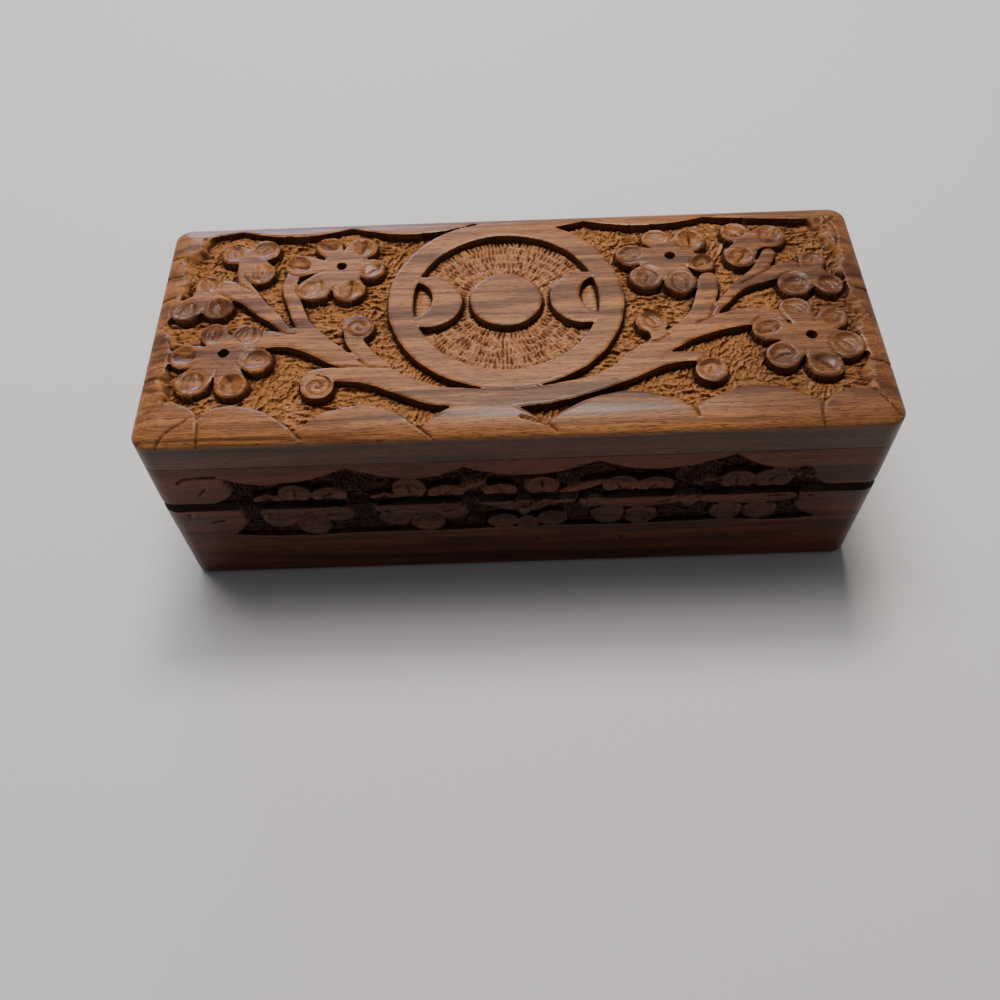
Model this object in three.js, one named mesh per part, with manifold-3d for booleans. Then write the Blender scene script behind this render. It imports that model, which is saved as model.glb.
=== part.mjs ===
// A carved wooden trinket box in the traditional north Indian manner: a hinged lid over a base, both glued up
// from boards, with a carved panel on top and a carved flower band on each side of the seam.
//
// Millimetres, +Z up. The box stands on z = 0, its length lies along X and its front looks along -Y.

import * as THREE from "three";
import { mergeVertices } from "three/addons/utils/BufferGeometryUtils.js";
import Module from "manifold-3d";

// Outside of the closed box
const LENGTH = 203;
const WIDTH = 84;
const BASE_HEIGHT = 37.5;
const LID_WALL_HEIGHT = 17.9;
const PANEL_THICKNESS = 12;
const CORNER_RADIUS = 5; // upright edges
const FOOT_RADIUS = 2.5; // rounding under the base
const FOOT_TAPER = 0.7; // how far the base draws in down to its foot
const CROWN_DROP = 3; // the top panel falls by this much from its flat field to its edge
const CROWN_REACH = 9.5; // and does so over this width

// Boards
const WALL = 9;
const FLOOR_THICKNESS = 6;
const CLEARANCE = 0.3; // between rims, round the hinges and in the screw holes

// Groove round the seam, cut half in each rim
const GROOVE_DEPTH = 1.5;
const GROOVE_HEIGHT = 1.8;

// Hinges
const HINGE_INSET = 39.5; // from each end of the box to the middle of its hinge
const HINGE_LENGTH = 25;
const MIDDLE_KNUCKLE = 8;
const KNUCKLE_RADIUS = 1.5;
const PIN_RADIUS = 0.6;
const LEAF_THICKNESS = 0.8;
const LEAF_WIDTH = 6.2; // from the pin's centre to the leaf's free edge
const SCREW_SPACING = HINGE_LENGTH - 9;
const SCREW_LENGTH = 7;
const SCREW_RADIUS = 0.6;
const SCREW_HEAD_RADIUS = 1.2;
const SCREW_HEAD_HEIGHT = 0.6;

// Carving on the top panel
const TOP_RELIEF = 2.6; // depth of the ground under the flat field
const RING_MARGIN = 8.6; // from the ring's outside to the front or back edge of the box
const RING_BAND = 6.9;
const RING_OFF_CENTRE = [-1.8, 6];
const FULL_MOON_RADIUS = 10.2;
const CRESCENT_RADIUS = 10;
const CRESCENT_REACH = 22.6; // from the full moon's centre to the centre of each crescent
const CRESCENT_HOLLOW = { halfWidth: 5.2, halfHeight: 7, out: 3.4, up: 1 }; // the cut that makes a crescent
const HEART_RADIUS = 1.3; // hole in the heart of a flower
const FLOWER_HUB_RADIUS = 6;
const SPRAY_HUB_RADIUS = 4;
const BUD_RADIUS = 4.2;
const SCOOP_DEPTH = 0.7; // in the middle of each petal
const SCOOP_SHARE = 0.7; // of the petal's width

// Carving on the fronts and ends
const SIDE_RELIEF = 2;
const LID_BAND_HEIGHT = 16.3;
const BASE_BAND_HEIGHT = 17;

// Roundness of the curved pieces
const CORNER_STEPS = 4;
const CROWN_STEPS = 6;
const FOOT_STEPS = 3;
const PETAL_STEPS = 7; // on each half of an outline
const ARCH_STEPS = 4;
const SCOOP_STEPS = 2;
const SCOOP_SIDES = 10;
const VINE_STEPS = 10;
const RING_STEPS = 28;
const HARDWARE_STEPS = 16;

const PROUD = 4; // how far a cutter stands out of the wood that it cuts

// Sizes that follow
const HALF_LENGTH = LENGTH / 2;
const HALF_WIDTH = WIDTH / 2;
const LID_RIM = BASE_HEIGHT + CLEARANCE;
const SEAM = BASE_HEIGHT + CLEARANCE / 2;
const PANEL_BOTTOM = LID_RIM + LID_WALL_HEIGHT;
const TOTAL_HEIGHT = PANEL_BOTTOM + PANEL_THICKNESS;
const ARRIS = TOTAL_HEIGHT - CROWN_DROP;
const GROUND = TOTAL_HEIGHT - TOP_RELIEF;
const PIN_Y = HALF_WIDTH - GROOVE_DEPTH;
const BORE_RADIUS = PIN_RADIUS + CLEARANCE;
const RECESS_RADIUS = KNUCKLE_RADIUS + CLEARANCE;

// Joining and cutting solids

const wasm = await Module();
wasm.setup();

/** The closed body of a geometry, ready to be joined and cut. */
function solid(geometry) {
  const bare = geometry.index ? geometry.toNonIndexed() : geometry.clone();
  bare.deleteAttribute("normal");
  bare.deleteAttribute("uv");
  const merged = mergeVertices(bare, 1e-4);
  const vertProperties = merged.attributes.position.array;
  const triVerts = new Uint32Array(merged.index.array);
  return new wasm.Manifold(new wasm.Mesh({ numProp: 3, vertProperties, triVerts }));
}

/** One named piece of the box. */
function piece(name, body, material) {
  const mesh = body.getMesh();
  const geometry = new THREE.BufferGeometry();
  geometry.setAttribute("position", new THREE.BufferAttribute(mesh.vertProperties, 3));
  geometry.setIndex(new THREE.BufferAttribute(mesh.triVerts, 1));
  const faceted = geometry.toNonIndexed();
  faceted.computeVertexNormals();
  const made = new THREE.Mesh(faceted, material);
  made.name = name;
  return made;
}

const joined = (bodies) => bodies.reduce((whole, body) => whole.add(body));

/** A box between two corners. */
function block([x0, y0, z0], [x1, y1, z1]) {
  const box = new THREE.BoxGeometry(x1 - x0, y1 - y0, z1 - z0);
  return solid(box.translate((x0 + x1) / 2, (y0 + y1) / 2, (z0 + z1) / 2));
}

/** A flat outline made solid between two heights, and then turned to where it belongs. */
function slab(shape, bottom, top, { steps = PETAL_STEPS, turn = new THREE.Matrix4() } = {}) {
  const settings = { depth: top - bottom, bevelEnabled: false, curveSegments: steps };
  const geometry = new THREE.ExtrudeGeometry(shape, settings).translate(0, 0, bottom);
  return solid(geometry.applyMatrix4(turn));
}

/** A cylinder along X. */
function rod(radius, x0, x1, y, z) {
  const cylinder = new THREE.CylinderGeometry(radius, radius, x1 - x0, HARDWARE_STEPS);
  return solid(cylinder.rotateZ(Math.PI / 2).translate((x0 + x1) / 2, y, z));
}

// The two blocks that the boards are shaped from

/** Corner points of the box's plan, drawn in by an inset and rounded by what the inset leaves. */
function planAt(inset) {
  const radius = Math.max(CORNER_RADIUS - inset, CORNER_RADIUS / 10);
  const reachX = HALF_LENGTH - inset - radius;
  const reachY = HALF_WIDTH - inset - radius;
  const points = [];
  [[1, -1], [1, 1], [-1, 1], [-1, -1]].forEach(([sideX, sideY], quarter) => {
    for (let i = 0; i <= CORNER_STEPS; i++) {
      const turn = (quarter - 1 + i / CORNER_STEPS) * (Math.PI / 2);
      points.push([sideX * reachX + radius * Math.cos(turn), sideY * reachY + radius * Math.sin(turn)]);
    }
  });
  return points;
}

/** A block through a stack of plans, each given as its inset and its height, from the bottom up. */
function shapedBlock(levels) {
  const rings = levels.map(([inset, z]) => planAt(inset).map(([x, y]) => [x, y, z]));
  const around = rings[0].length;
  const positions = rings.flat(2);
  const faces = [];
  for (let level = 0; level + 1 < rings.length; level++) {
    for (let i = 0; i < around; i++) {
      const next = (i + 1) % around;
      const [a, b] = [level * around + i, level * around + next];
      faces.push(a, b, b + around, a, b + around, a + around);
    }
  }
  const lid = (rings.length - 1) * around;
  for (let i = 1; i + 1 < around; i++) faces.push(0, i + 1, i, lid, lid + i, lid + i + 1);
  const geometry = new THREE.BufferGeometry();
  geometry.setAttribute("position", new THREE.Float32BufferAttribute(positions, 3));
  geometry.setIndex(faces);
  return solid(geometry);
}

/** A quarter turn in equal steps, each as the sine and the cosine. */
function quarterTurn(steps) {
  return Array.from({ length: steps + 1 }, (_, i) => {
    const turn = (i / steps) * (Math.PI / 2);
    return [Math.sin(turn), Math.cos(turn)];
  });
}

function baseBlock() {
  const foot = quarterTurn(FOOT_STEPS).map(([sin, cos]) => [
    FOOT_TAPER + FOOT_RADIUS * (1 - sin),
    FOOT_RADIUS * (1 - cos),
  ]);
  return shapedBlock([...foot, [0, BASE_HEIGHT - GROOVE_HEIGHT], [GROOVE_DEPTH, BASE_HEIGHT]]);
}

function lidBlock() {
  const crown = quarterTurn(CROWN_STEPS).map(([sin, cos]) => [
    CROWN_REACH * (1 - cos),
    ARRIS + CROWN_DROP * sin,
  ]);
  return shapedBlock([[GROOVE_DEPTH, LID_RIM], [0, LID_RIM + GROOVE_HEIGHT], ...crown]);
}

// Places on the carving are given in hundredths of the box's half length and half width, so that the pattern
// keeps its place on a longer or wider box.

const onTop = (along, across) =>
  new THREE.Vector2((along * HALF_LENGTH) / 100, (across * HALF_WIDTH) / 100);

/** Points on the border of the top panel: a place along one side, and the distance in from its edge. */
const front = (along, inset) => new THREE.Vector2((along * HALF_LENGTH) / 100, inset - HALF_WIDTH);
const back = (along, inset) => new THREE.Vector2((along * HALF_LENGTH) / 100, HALF_WIDTH - inset);
const left = (across, inset) => new THREE.Vector2(inset - HALF_LENGTH, (across * HALF_WIDTH) / 100);
const right = (across, inset) => new THREE.Vector2(HALF_LENGTH - inset, (across * HALF_WIDTH) / 100);

// The scalloped border of the top: a cusp, the crest of the arch that follows it, the next cusp, and so on.
const TOP_BORDER = [
  front(-83, 9), front(-71, 11.3),
  front(-57.5, 2.8), front(-41, 10.4),
  front(-25, 3), front(-9, 10.8),
  front(7.5, 3), front(27, 12.4),
  front(46, 6.4), front(63, 13),
  front(79, 6.6), front(87, 11),
  front(95, 9.5), right(-60, 6.2),
  right(-47, 5.2), right(-28, 6.8),
  right(-9, 2.6), right(22, 6.4),
  right(52, 3.8), right(64, 6.8),
  back(92, 6.4), back(78, 5.6),
  back(57.5, 3.2), back(41, 6.6),
  back(22, 3.2), back(6, 6.6),
  back(-10.5, 2.6), back(-28, 7.2),
  back(-47, 3), back(-63, 6.6),
  back(-79.5, 3), back(-88, 5.4),
  left(84, 9.5), left(73, 8.4),
  left(66, 4.4), left(32, 6.6),
  left(0, 2.4), left(-26, 6.8),
  left(-47, 3.4), left(-58, 6),
  left(-69, 6), front(-88, 12.6),
];

// Each flower: its heart, and its petals by compass angle from the heart, reach and radius.
const FLOWERS = [
  {
    heart: onTop(-78.8, -27),
    petals: [
      [-17, 9.7, 4.5], [50, 8.4, 4.3], [115, 8.2, 4],
      [183, 10.5, 4.4], [234, 12.4, 4.9], [286, 11.8, 4.6],
    ],
  },
  {
    heart: onTop(-48.8, 51.5),
    petals: [
      [-8, 8.4, 4.4], [55, 9.5, 4.4], [115, 10, 4],
      [175, 12.4, 4.4], [229, 11.6, 4.9], [285, 9.7, 4.7],
    ],
  },
  {
    heart: onTop(80.2, -28),
    petals: [
      [-22, 9.4, 5.1], [43, 9.6, 4.2], [103, 10.5, 4.5],
      [164, 11.4, 4.6], [218, 10.8, 4.8], [280, 10.3, 4.9],
    ],
  },
  {
    heart: onTop(45.8, 51),
    petals: [
      [-19, 9.4, 3.9], [45, 9.3, 4.7], [113, 8.2, 4.2],
      [175, 11.3, 4.4], [227, 11.3, 4.8], [280, 10.7, 4.7],
    ],
  },
];

// Three petals on a stem, with no hole between them.
const SPRAYS = [
  { heart: onTop(-86.2, 24), petals: [[94, 5.3, 3.9], [215, 7, 4.4], [-44, 4.7, 4.5]] },
  { heart: onTop(-75.4, 62), petals: [[154, 5.5, 4], [47, 5.4, 4.3], [-61, 6.5, 4.5]] },
  { heart: onTop(84.7, 28.5), petals: [[77, 5.9, 3.9], [214, 6.4, 4.8], [-43, 5.6, 4.3]] },
  { heart: onTop(69.5, 63), petals: [[131, 5.7, 4.3], [20, 6.4, 4.9], [238, 6.6, 4.6]] },
];

const BUDS = [onTop(-42.7, -5.7), onTop(-52.8, -57.5), onTop(37.8, -10.5), onTop(51.8, -53.3)];

// Each vine runs through stations: along, across and the stem's width there.
const TOP_VINES = [
  [
    [-10, -69, 5], [-23.5, -61, 6], [-37.5, -46.5, 6], [-47.5, -33.5, 6.5],
    [-56, -18, 8], [-65, -14.5, 6], [-74, -22, 4],
  ],
  [[-59, 43, 5], [-63.5, 27.5, 4.5], [-60.5, 7, 5], [-54, -12, 6], [-45.5, -32, 6]],
  [[-78, 47.5, 4], [-72, 30, 4.5], [-65, 10.5, 5], [-59, -5, 6], [-53, -16.5, 6]],
  [[-81, 28.5, 3.5], [-74, 18, 4], [-67, 5, 5], [-60, -7, 6]],
  [[-43, -9, 4], [-42, -28.5, 3.5], [-37.5, -43, 4.5]],
  [[-52, -50, 4.5], [-45.5, -49, 4], [-36.5, -52.5, 4], [-26.5, -63, 4.5], [-12, -75, 5]],
  [
    [5, -69, 5], [19.5, -61, 6], [34.5, -44, 6], [45.5, -28.5, 7],
    [56, -10.5, 7], [65, -12, 4.5], [75, -22, 4],
  ],
  [[82, 38, 4], [74, 28.5, 4.5], [65, 15.5, 5], [57, 0, 6], [49.5, -16.5, 6]],
  [[76, 55, 4], [71, 35.5, 4.5], [63, 19, 5.5], [55, -2.5, 6]],
  [[56, 38, 5], [52, 15.5, 5], [48, -5, 5], [43.5, -21.5, 5.5], [35.5, -38, 6]],
  [[38.5, -14, 3.5], [36.5, -31, 3.5], [31.5, -44, 4]],
  [[50.5, -47.5, 4], [41.5, -46.5, 4], [31.5, -53.5, 4.5], [19.5, -65.5, 5], [7, -75, 5]],
  [[-14, -71.5, 6], [-2, -72.5, 6.5], [10, -71.5, 6]],
];

/** An outline of arches: it passes through cusps and, half way between two of them, through a crest. */
function scalloped(points) {
  const shape = new THREE.Shape();
  shape.moveTo(points[0].x, points[0].y);
  for (let i = 0; i + 2 < points.length; i += 2) {
    const [from, crest, to] = points.slice(i, i + 3);
    const control = crest.clone().multiplyScalar(2).sub(from.clone().add(to).multiplyScalar(0.5));
    shape.quadraticCurveTo(control.x, control.y, to.x, to.y);
  }
  return shape;
}

function ellipse(x, y, halfWidth, halfHeight, turn = 0) {
  const shape = new THREE.Shape();
  shape.absellipse(x, y, halfWidth, halfHeight, 0, 2 * Math.PI, false, turn);
  return shape;
}

const disc = (x, y, radius) => ellipse(x, y, radius, radius);

/** A stem along a smooth curve through its stations, as wide as each one says. */
function stem(stations) {
  const curve = new THREE.SplineCurve(stations.map(({ at }) => at));
  const sides = [[], []];
  for (let i = 0; i <= VINE_STEPS; i++) {
    const t = i / VINE_STEPS;
    const station = Math.min(Math.floor(t * (stations.length - 1)), stations.length - 2);
    const share = t * (stations.length - 1) - station;
    const width = THREE.MathUtils.lerp(stations[station].width, stations[station + 1].width, share);
    const [at, ahead] = [curve.getPoint(t), curve.getTangent(t)];
    const side = new THREE.Vector2(-ahead.y, ahead.x).multiplyScalar(width / 2);
    sides[0].push(at.clone().add(side));
    sides[1].unshift(at.clone().sub(side));
  }
  return new THREE.Shape(sides.flat());
}

/** A petal's centre, by its angle and reach from the heart of its flower. */
function petalPlace(heart, angle, reach) {
  const turn = THREE.MathUtils.degToRad(angle);
  return new THREE.Vector2(heart.x + reach * Math.cos(turn), heart.y + reach * Math.sin(turn));
}

const ringCentre = () => new THREE.Vector2(...RING_OFF_CENTRE);
const ringRadius = () => HALF_WIDTH - RING_MARGIN;

/** What stands between the border and the ground: the part of the lid's top that isn't cut away. */
function topMotifs() {
  const raised = (shape, steps) => slab(shape, GROUND - PROUD, TOTAL_HEIGHT + 2 * PROUD, { steps });
  const centre = ringCentre();
  const ring = disc(centre.x, centre.y, ringRadius());
  ring.holes.push(disc(centre.x, centre.y, ringRadius() - RING_BAND));
  const fullMoon = disc(centre.x, centre.y, FULL_MOON_RADIUS);
  const motifs = [raised(ring, RING_STEPS), raised(fullMoon, RING_STEPS / 2)];
  const inside = raised(disc(centre.x, centre.y, ringRadius() - RING_BAND / 2), RING_STEPS);
  for (const side of [-1, 1]) {
    const x = centre.x + side * CRESCENT_REACH;
    const { halfWidth, halfHeight, out, up } = CRESCENT_HOLLOW;
    const hollow = ellipse(x + side * out, centre.y + up, halfWidth, halfHeight);
    const moon = raised(disc(x, centre.y, CRESCENT_RADIUS), RING_STEPS / 2);
    motifs.push(moon.subtract(raised(hollow)).intersect(inside));
  }
  for (const [flowers, hub] of [[FLOWERS, FLOWER_HUB_RADIUS], [SPRAYS, SPRAY_HUB_RADIUS]]) {
    for (const { heart, petals } of flowers) {
      motifs.push(raised(disc(heart.x, heart.y, hub)));
      for (const [angle, reach, radius] of petals) {
        const at = petalPlace(heart, angle, reach);
        motifs.push(raised(disc(at.x, at.y, radius)));
      }
    }
  }
  for (const bud of BUDS) motifs.push(raised(disc(bud.x, bud.y, BUD_RADIUS)));
  for (const vine of TOP_VINES) {
    const stations = vine.map(([along, across, width]) => ({ at: onTop(along, across), width }));
    motifs.push(raised(stem(stations)));
  }
  return joined(motifs);
}

/** The scoops in the petals and the holes in the hearts, as one cutter. */
function topScoops() {
  const cutters = [];
  const scoop = (at, radius) => {
    const width = radius * SCOOP_SHARE;
    const bowl = (width * width + SCOOP_DEPTH * SCOOP_DEPTH) / (2 * SCOOP_DEPTH);
    const profile = quarterTurn(SCOOP_STEPS).map(([sin]) => {
      const out = width * (1 - sin);
      return new THREE.Vector2(out, bowl - Math.sqrt(bowl * bowl - out * out));
    });
    profile.reverse();
    profile.push(new THREE.Vector2(width, PROUD), new THREE.Vector2(0, PROUD));
    const cutter = new THREE.LatheGeometry(profile, SCOOP_SIDES).rotateX(Math.PI / 2);
    cutters.push(solid(cutter.translate(at.x, at.y, TOTAL_HEIGHT - SCOOP_DEPTH)));
  };
  for (const { heart, petals } of [...FLOWERS, ...SPRAYS]) {
    for (const [angle, reach, radius] of petals) scoop(petalPlace(heart, angle, reach), radius);
  }
  for (const { heart } of FLOWERS) {
    const hole = disc(heart.x, heart.y, HEART_RADIUS);
    cutters.push(slab(hole, GROUND, TOTAL_HEIGHT + PROUD, { steps: SCOOP_SIDES / 2 }));
  }
  return joined(cutters);
}

function topPanel(lid) {
  const board = lid.intersect(
    block([-LENGTH, -WIDTH, PANEL_BOTTOM], [LENGTH, WIDTH, TOTAL_HEIGHT + PROUD]),
  );
  const outline = scalloped([...TOP_BORDER, TOP_BORDER[0]]);
  const pocket = slab(outline, GROUND, TOTAL_HEIGHT + PROUD, { steps: ARCH_STEPS });
  return board.subtract(pocket.subtract(topMotifs())).subtract(topScoops());
}

// The flower bands on the sides are drawn upright: along the side, in hundredths of its half length, and away
// from the seam, in hundredths of the band's height. Then they are turned to face out of the box.

// The edge of each band: a cusp, the crest of the arch that follows it, the next cusp, and so on to the last
// cusp. Then its petals and leaves: along, away, half width, half height and lean.
const LID_BAND = {
  edge: [
    [-84.5, 5], [-79.5, 27], [-78, 48], [-79, 63], [-80, 80], [-65, 57], [-46, 98], [-29, 62], [-14.5, 91],
    [3, 62], [21.5, 97], [38.5, 68], [58, 103], [65.5, 70], [75, 54], [78, 63], [80, 44], [82, 20],
    [86.5, 4],
  ],
  petals: [
    [-69, 13, 4.2, 2.4, 0], [-61.5, 28, 4.5, 4.2, 0], [-52, 21, 4.9, 3.6, 0], [-37, 9, 4.4, 1.9, 0],
    [-30, 32, 4.7, 5.2, 0], [-20, 18, 5, 3.9, 0], [-12.5, 37, 4, 1.6, 0.45], [-5, 19, 4.7, 3.4, 0],
    [6.5, 28, 4.8, 4.5, 0], [17.5, 25, 7.2, 1.7, 0.38], [28, 25, 4.9, 4.4, 0], [37.5, 21, 5.2, 4, 0],
    [51.5, 30, 3.4, 1.1, 0.35], [60, 27, 4.8, 4.7, 0], [69.5, 29, 5.3, 4.7, 0],
    [77.5, 38, 3.4, 1.1, -0.45],
  ],
};
const BASE_BAND = {
  edge: [
    [-78.5, 3], [-77, 38], [-78.5, 61], [-80, 76], [-82, 89], [-70, 95], [-59, 98], [-42.5, 93],
    [-25.5, 96], [2, 91], [29.5, 93], [47.5, 90], [62, 86], [73, 94], [85.5, 87], [80.5, 69], [78, 48],
    [78, 27], [78.5, 8],
  ],
  petals: [
    [-67.5, 43, 5, 4.4, 0], [-58.5, 68, 4.9, 4.6, 0], [-51.5, 33, 5, 3.8, 0], [-34.5, 48, 5.3, 4, 0],
    [-26, 66, 4.8, 4.6, 0], [-19, 35, 4.6, 4.1, 0], [-4.5, 72, 4.5, 3.5, 0], [9.5, 68, 4.4, 3.8, 0],
    [25.5, 61, 4.8, 4.6, 0], [34.5, 66, 4.9, 4.4, 0], [59, 61, 4.8, 4.3, 0], [68.5, 62, 5, 4.6, 0],
    [20.5, 19, 3.7, 3, 0], [1.5, 24, 2.2, 5.2, 0], [2.5, 84, 3.2, 4.6, 0], [13.5, 7, 2.8, 2.6, 0],
    [47.5, 17, 2.8, 4.4, 0.2], [-63, 23, 9.6, 3.2, 0], [-59, 43, 4.6, 3, 0], [-28, 23, 13, 3, 0],
    [-5, 19, 7.4, 2.1, -0.35], [7.5, 22, 5.6, 2.1, 0.42], [33.5, 22, 12.6, 3.2, 0], [64, 22, 14.2, 3, 0],
  ],
};

const END_LID_BAND = {
  edge: [
    [-64, 10], [-60, 45], [-62, 86], [-41, 60], [-20, 98], [0, 66],
    [20, 98], [41, 60], [62, 86], [60, 45], [64, 10],
  ],
  petals: [
    [-42, 18, 3.8, 1.8, 0], [-30, 32, 4.4, 4, 0], [-18, 20, 4, 2.2, 0], [0, 30, 2.6, 4.2, 0],
    [18, 20, 4, 2.2, 0], [30, 32, 4.4, 4, 0], [42, 18, 3.8, 1.8, 0],
  ],
};
const END_BASE_BAND = {
  edge: [[-62, 2], [-60, 50], [-64, 96], [0, 94], [64, 96], [60, 50], [62, 2]],
  petals: [
    [-42, 48, 4.2, 4, 0], [-29, 74, 4.4, 3.9, 0], [-16, 48, 4.2, 4, 0], [-29, 18, 8, 2.3, 0],
    [42, 48, 4.2, 4, 0], [29, 74, 4.4, 3.9, 0], [16, 48, 4.2, 4, 0], [29, 18, 8, 2.3, 0],
    [0, 30, 2, 4.6, 0],
  ],
};

/** The turn that makes an upright drawing face out of a side: 0 is the front, 1 the right end, 3 the left. */
function facing(quarter) {
  const reach = quarter % 2 ? HALF_LENGTH : HALF_WIDTH;
  const turn = new THREE.Matrix4().makeRotationZ((quarter * Math.PI) / 2);
  turn.multiply(new THREE.Matrix4().makeRotationX(Math.PI / 2));
  return turn.multiply(new THREE.Matrix4().makeTranslation(0, 0, reach));
}

/** What is cut from one side. The band runs up from the seam on the lid (1) and down on the base (-1). */
function bandCutter(band, quarter, seam, direction, height) {
  const halfSide = quarter % 2 ? HALF_WIDTH : HALF_LENGTH;
  const turn = facing(quarter);
  const place = ([along, away]) =>
    new THREE.Vector2((along * halfSide) / 100, seam + (direction * away * height) / 100);
  const edge = band.edge.map(place);
  const shape = scalloped(edge);
  for (const corner of [edge.at(-1), edge[0]]) shape.lineTo(corner.x, seam - direction * PROUD);
  const petals = band.petals.map(([along, away, halfWidth, halfHeight, lean]) => {
    const at = place([along, away]);
    const outline = ellipse(at.x, at.y, halfWidth, halfHeight, lean);
    return slab(outline, -2 * SIDE_RELIEF, 2 * PROUD, { turn });
  });
  return slab(shape, -SIDE_RELIEF, PROUD, { steps: ARCH_STEPS, turn }).subtract(joined(petals));
}

const lidBand = (band, quarter) => bandCutter(band, quarter, LID_RIM, 1, LID_BAND_HEIGHT);
const baseBand = (band, quarter) => bandCutter(band, quarter, BASE_HEIGHT, -1, BASE_BAND_HEIGHT);

// Hinges: the base leaf carries the two outer knuckles and the lid leaf the middle one.

const HINGE_X = { left: HINGE_INSET - HALF_LENGTH, right: HALF_LENGTH - HINGE_INSET };

/** Spans of the knuckles along a hinge, for the leaf on each side of the seam. */
function knuckles(centre, side) {
  const half = HINGE_LENGTH / 2;
  const middle = MIDDLE_KNUCKLE / 2;
  if (side > 0) return [[centre - middle, centre + middle]];
  const shoulder = middle + CLEARANCE;
  return [[centre - half, centre - shoulder], [centre + shoulder, centre + half]];
}

/** A leaf and its knuckles; side is 1 for the lid's leaf, over the seam, and -1 for the base's, under it. */
function leaf(centre, side) {
  const half = HINGE_LENGTH / 2;
  const [face, depth] = [CLEARANCE / 2, CLEARANCE / 2 + LEAF_THICKNESS];
  const [low, high] = side > 0 ? [SEAM + face, SEAM + depth] : [SEAM - depth, SEAM - face];
  const free = PIN_Y - LEAF_WIDTH;
  let body = block([centre - half, free, low], [centre + half, PIN_Y - RECESS_RADIUS, high]);
  for (const [x0, x1] of knuckles(centre, side)) {
    body = body.add(rod(KNUCKLE_RADIUS, x0, x1, PIN_Y, SEAM));
    body = body.add(block([x0, free, low], [x1, PIN_Y - BORE_RADIUS, high]));
  }
  body = body.subtract(rod(BORE_RADIUS, centre - HINGE_LENGTH, centre + HINGE_LENGTH, PIN_Y, SEAM));
  for (const x of screwPlaces(centre)) body = body.subtract(screw(x, side, CLEARANCE));
  return body;
}

const screwPlaces = (centre) => [centre - SCREW_SPACING / 2, centre + SCREW_SPACING / 2];

/** A countersunk screw into the rim, or with a clearance the hole that takes it. */
function screw(x, side, clearance = 0) {
  const profile = [
    new THREE.Vector2(0, -clearance),
    new THREE.Vector2(SCREW_HEAD_RADIUS + clearance, -clearance),
    new THREE.Vector2(SCREW_HEAD_RADIUS + clearance, 0),
    new THREE.Vector2(SCREW_RADIUS + clearance, SCREW_HEAD_HEIGHT),
    new THREE.Vector2(SCREW_RADIUS + clearance, SCREW_LENGTH - SCREW_HEAD_RADIUS),
    new THREE.Vector2(0, SCREW_LENGTH + clearance),
  ];
  if (clearance === 0) profile.splice(1, 1);
  const middleOfLeaf = PIN_Y - (RECESS_RADIUS + LEAF_WIDTH) / 2;
  const turned = new THREE.LatheGeometry(profile, HARDWARE_STEPS / 2).rotateX(Math.PI / 2);
  if (side < 0) turned.rotateX(Math.PI);
  return solid(turned.translate(x, middleOfLeaf, SEAM + (side * CLEARANCE) / 2));
}

/** What the hinges take out of a back board: leaf mortises, the barrel's recess and the screw holes. */
function hingeSeats(side) {
  const half = HINGE_LENGTH / 2 + CLEARANCE;
  const free = PIN_Y - LEAF_WIDTH - CLEARANCE;
  const depth = SEAM + side * (CLEARANCE / 2 + LEAF_THICKNESS + CLEARANCE);
  const [low, high] = side > 0 ? [SEAM - PROUD, depth] : [depth, SEAM + PROUD];
  const cuts = Object.values(HINGE_X).flatMap((centre) => [
    block([centre - half, free, low], [centre + half, PIN_Y, high]),
    rod(RECESS_RADIUS, centre - half, centre + half, PIN_Y, SEAM),
    ...screwPlaces(centre).map((x) => screw(x, side, CLEARANCE)),
  ]);
  return joined(cuts);
}

// Materials

const wood = (color) => new THREE.MeshStandardMaterial({ color, roughness: 0.5, metalness: 0 });
const lidWood = wood(0x8a5a34);
const sideWood = wood(0x5c3423);
const baseWood = wood(0x4f2c20);
const brass = new THREE.MeshStandardMaterial({ color: 0xb08d4a, roughness: 0.35, metalness: 1 });

/** Four walls, each the part of a block that lies in its own board. */
function walls(whole, bottom, top) {
  const [innerX, innerY] = [HALF_LENGTH - WALL, HALF_WIDTH - WALL];
  const board = (low, high) => whole.intersect(block([...low, bottom], [...high, top]));
  return {
    front: board([-LENGTH, -WIDTH], [LENGTH, -innerY]),
    back: board([-LENGTH, innerY], [LENGTH, WIDTH]),
    left: board([-LENGTH, -innerY], [-innerX, innerY]),
    right: board([innerX, -innerY], [LENGTH, innerY]),
  };
}

function base() {
  const group = new THREE.Group();
  const boards = walls(baseBlock(), -PROUD, BASE_HEIGHT + PROUD);
  const [innerX, innerY] = [HALF_LENGTH - WALL, HALF_WIDTH - WALL];
  group.add(
    piece("base_front_board", boards.front.subtract(baseBand(BASE_BAND, 0)), baseWood),
    piece("base_back_board", boards.back.subtract(hingeSeats(-1)), baseWood),
    piece("base_left_end", boards.left.subtract(baseBand(END_BASE_BAND, 3)), baseWood),
    piece("base_right_end", boards.right.subtract(baseBand(END_BASE_BAND, 1)), baseWood),
    piece("base_floor_panel", block([-innerX, -innerY, 0], [innerX, innerY, FLOOR_THICKNESS]), baseWood),
  );
  return group;
}

function lid() {
  const group = new THREE.Group();
  const whole = lidBlock();
  const rails = walls(whole, LID_RIM - PROUD, PANEL_BOTTOM);
  group.add(
    piece("lid_top_panel", topPanel(whole), lidWood),
    piece("lid_front_rail", rails.front.subtract(lidBand(LID_BAND, 0)), sideWood),
    piece("lid_back_rail", rails.back.subtract(hingeSeats(1)), sideWood),
    piece("lid_left_rail", rails.left.subtract(lidBand(END_LID_BAND, 3)), sideWood),
    piece("lid_right_rail", rails.right.subtract(lidBand(END_LID_BAND, 1)), sideWood),
  );
  return group;
}

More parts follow.
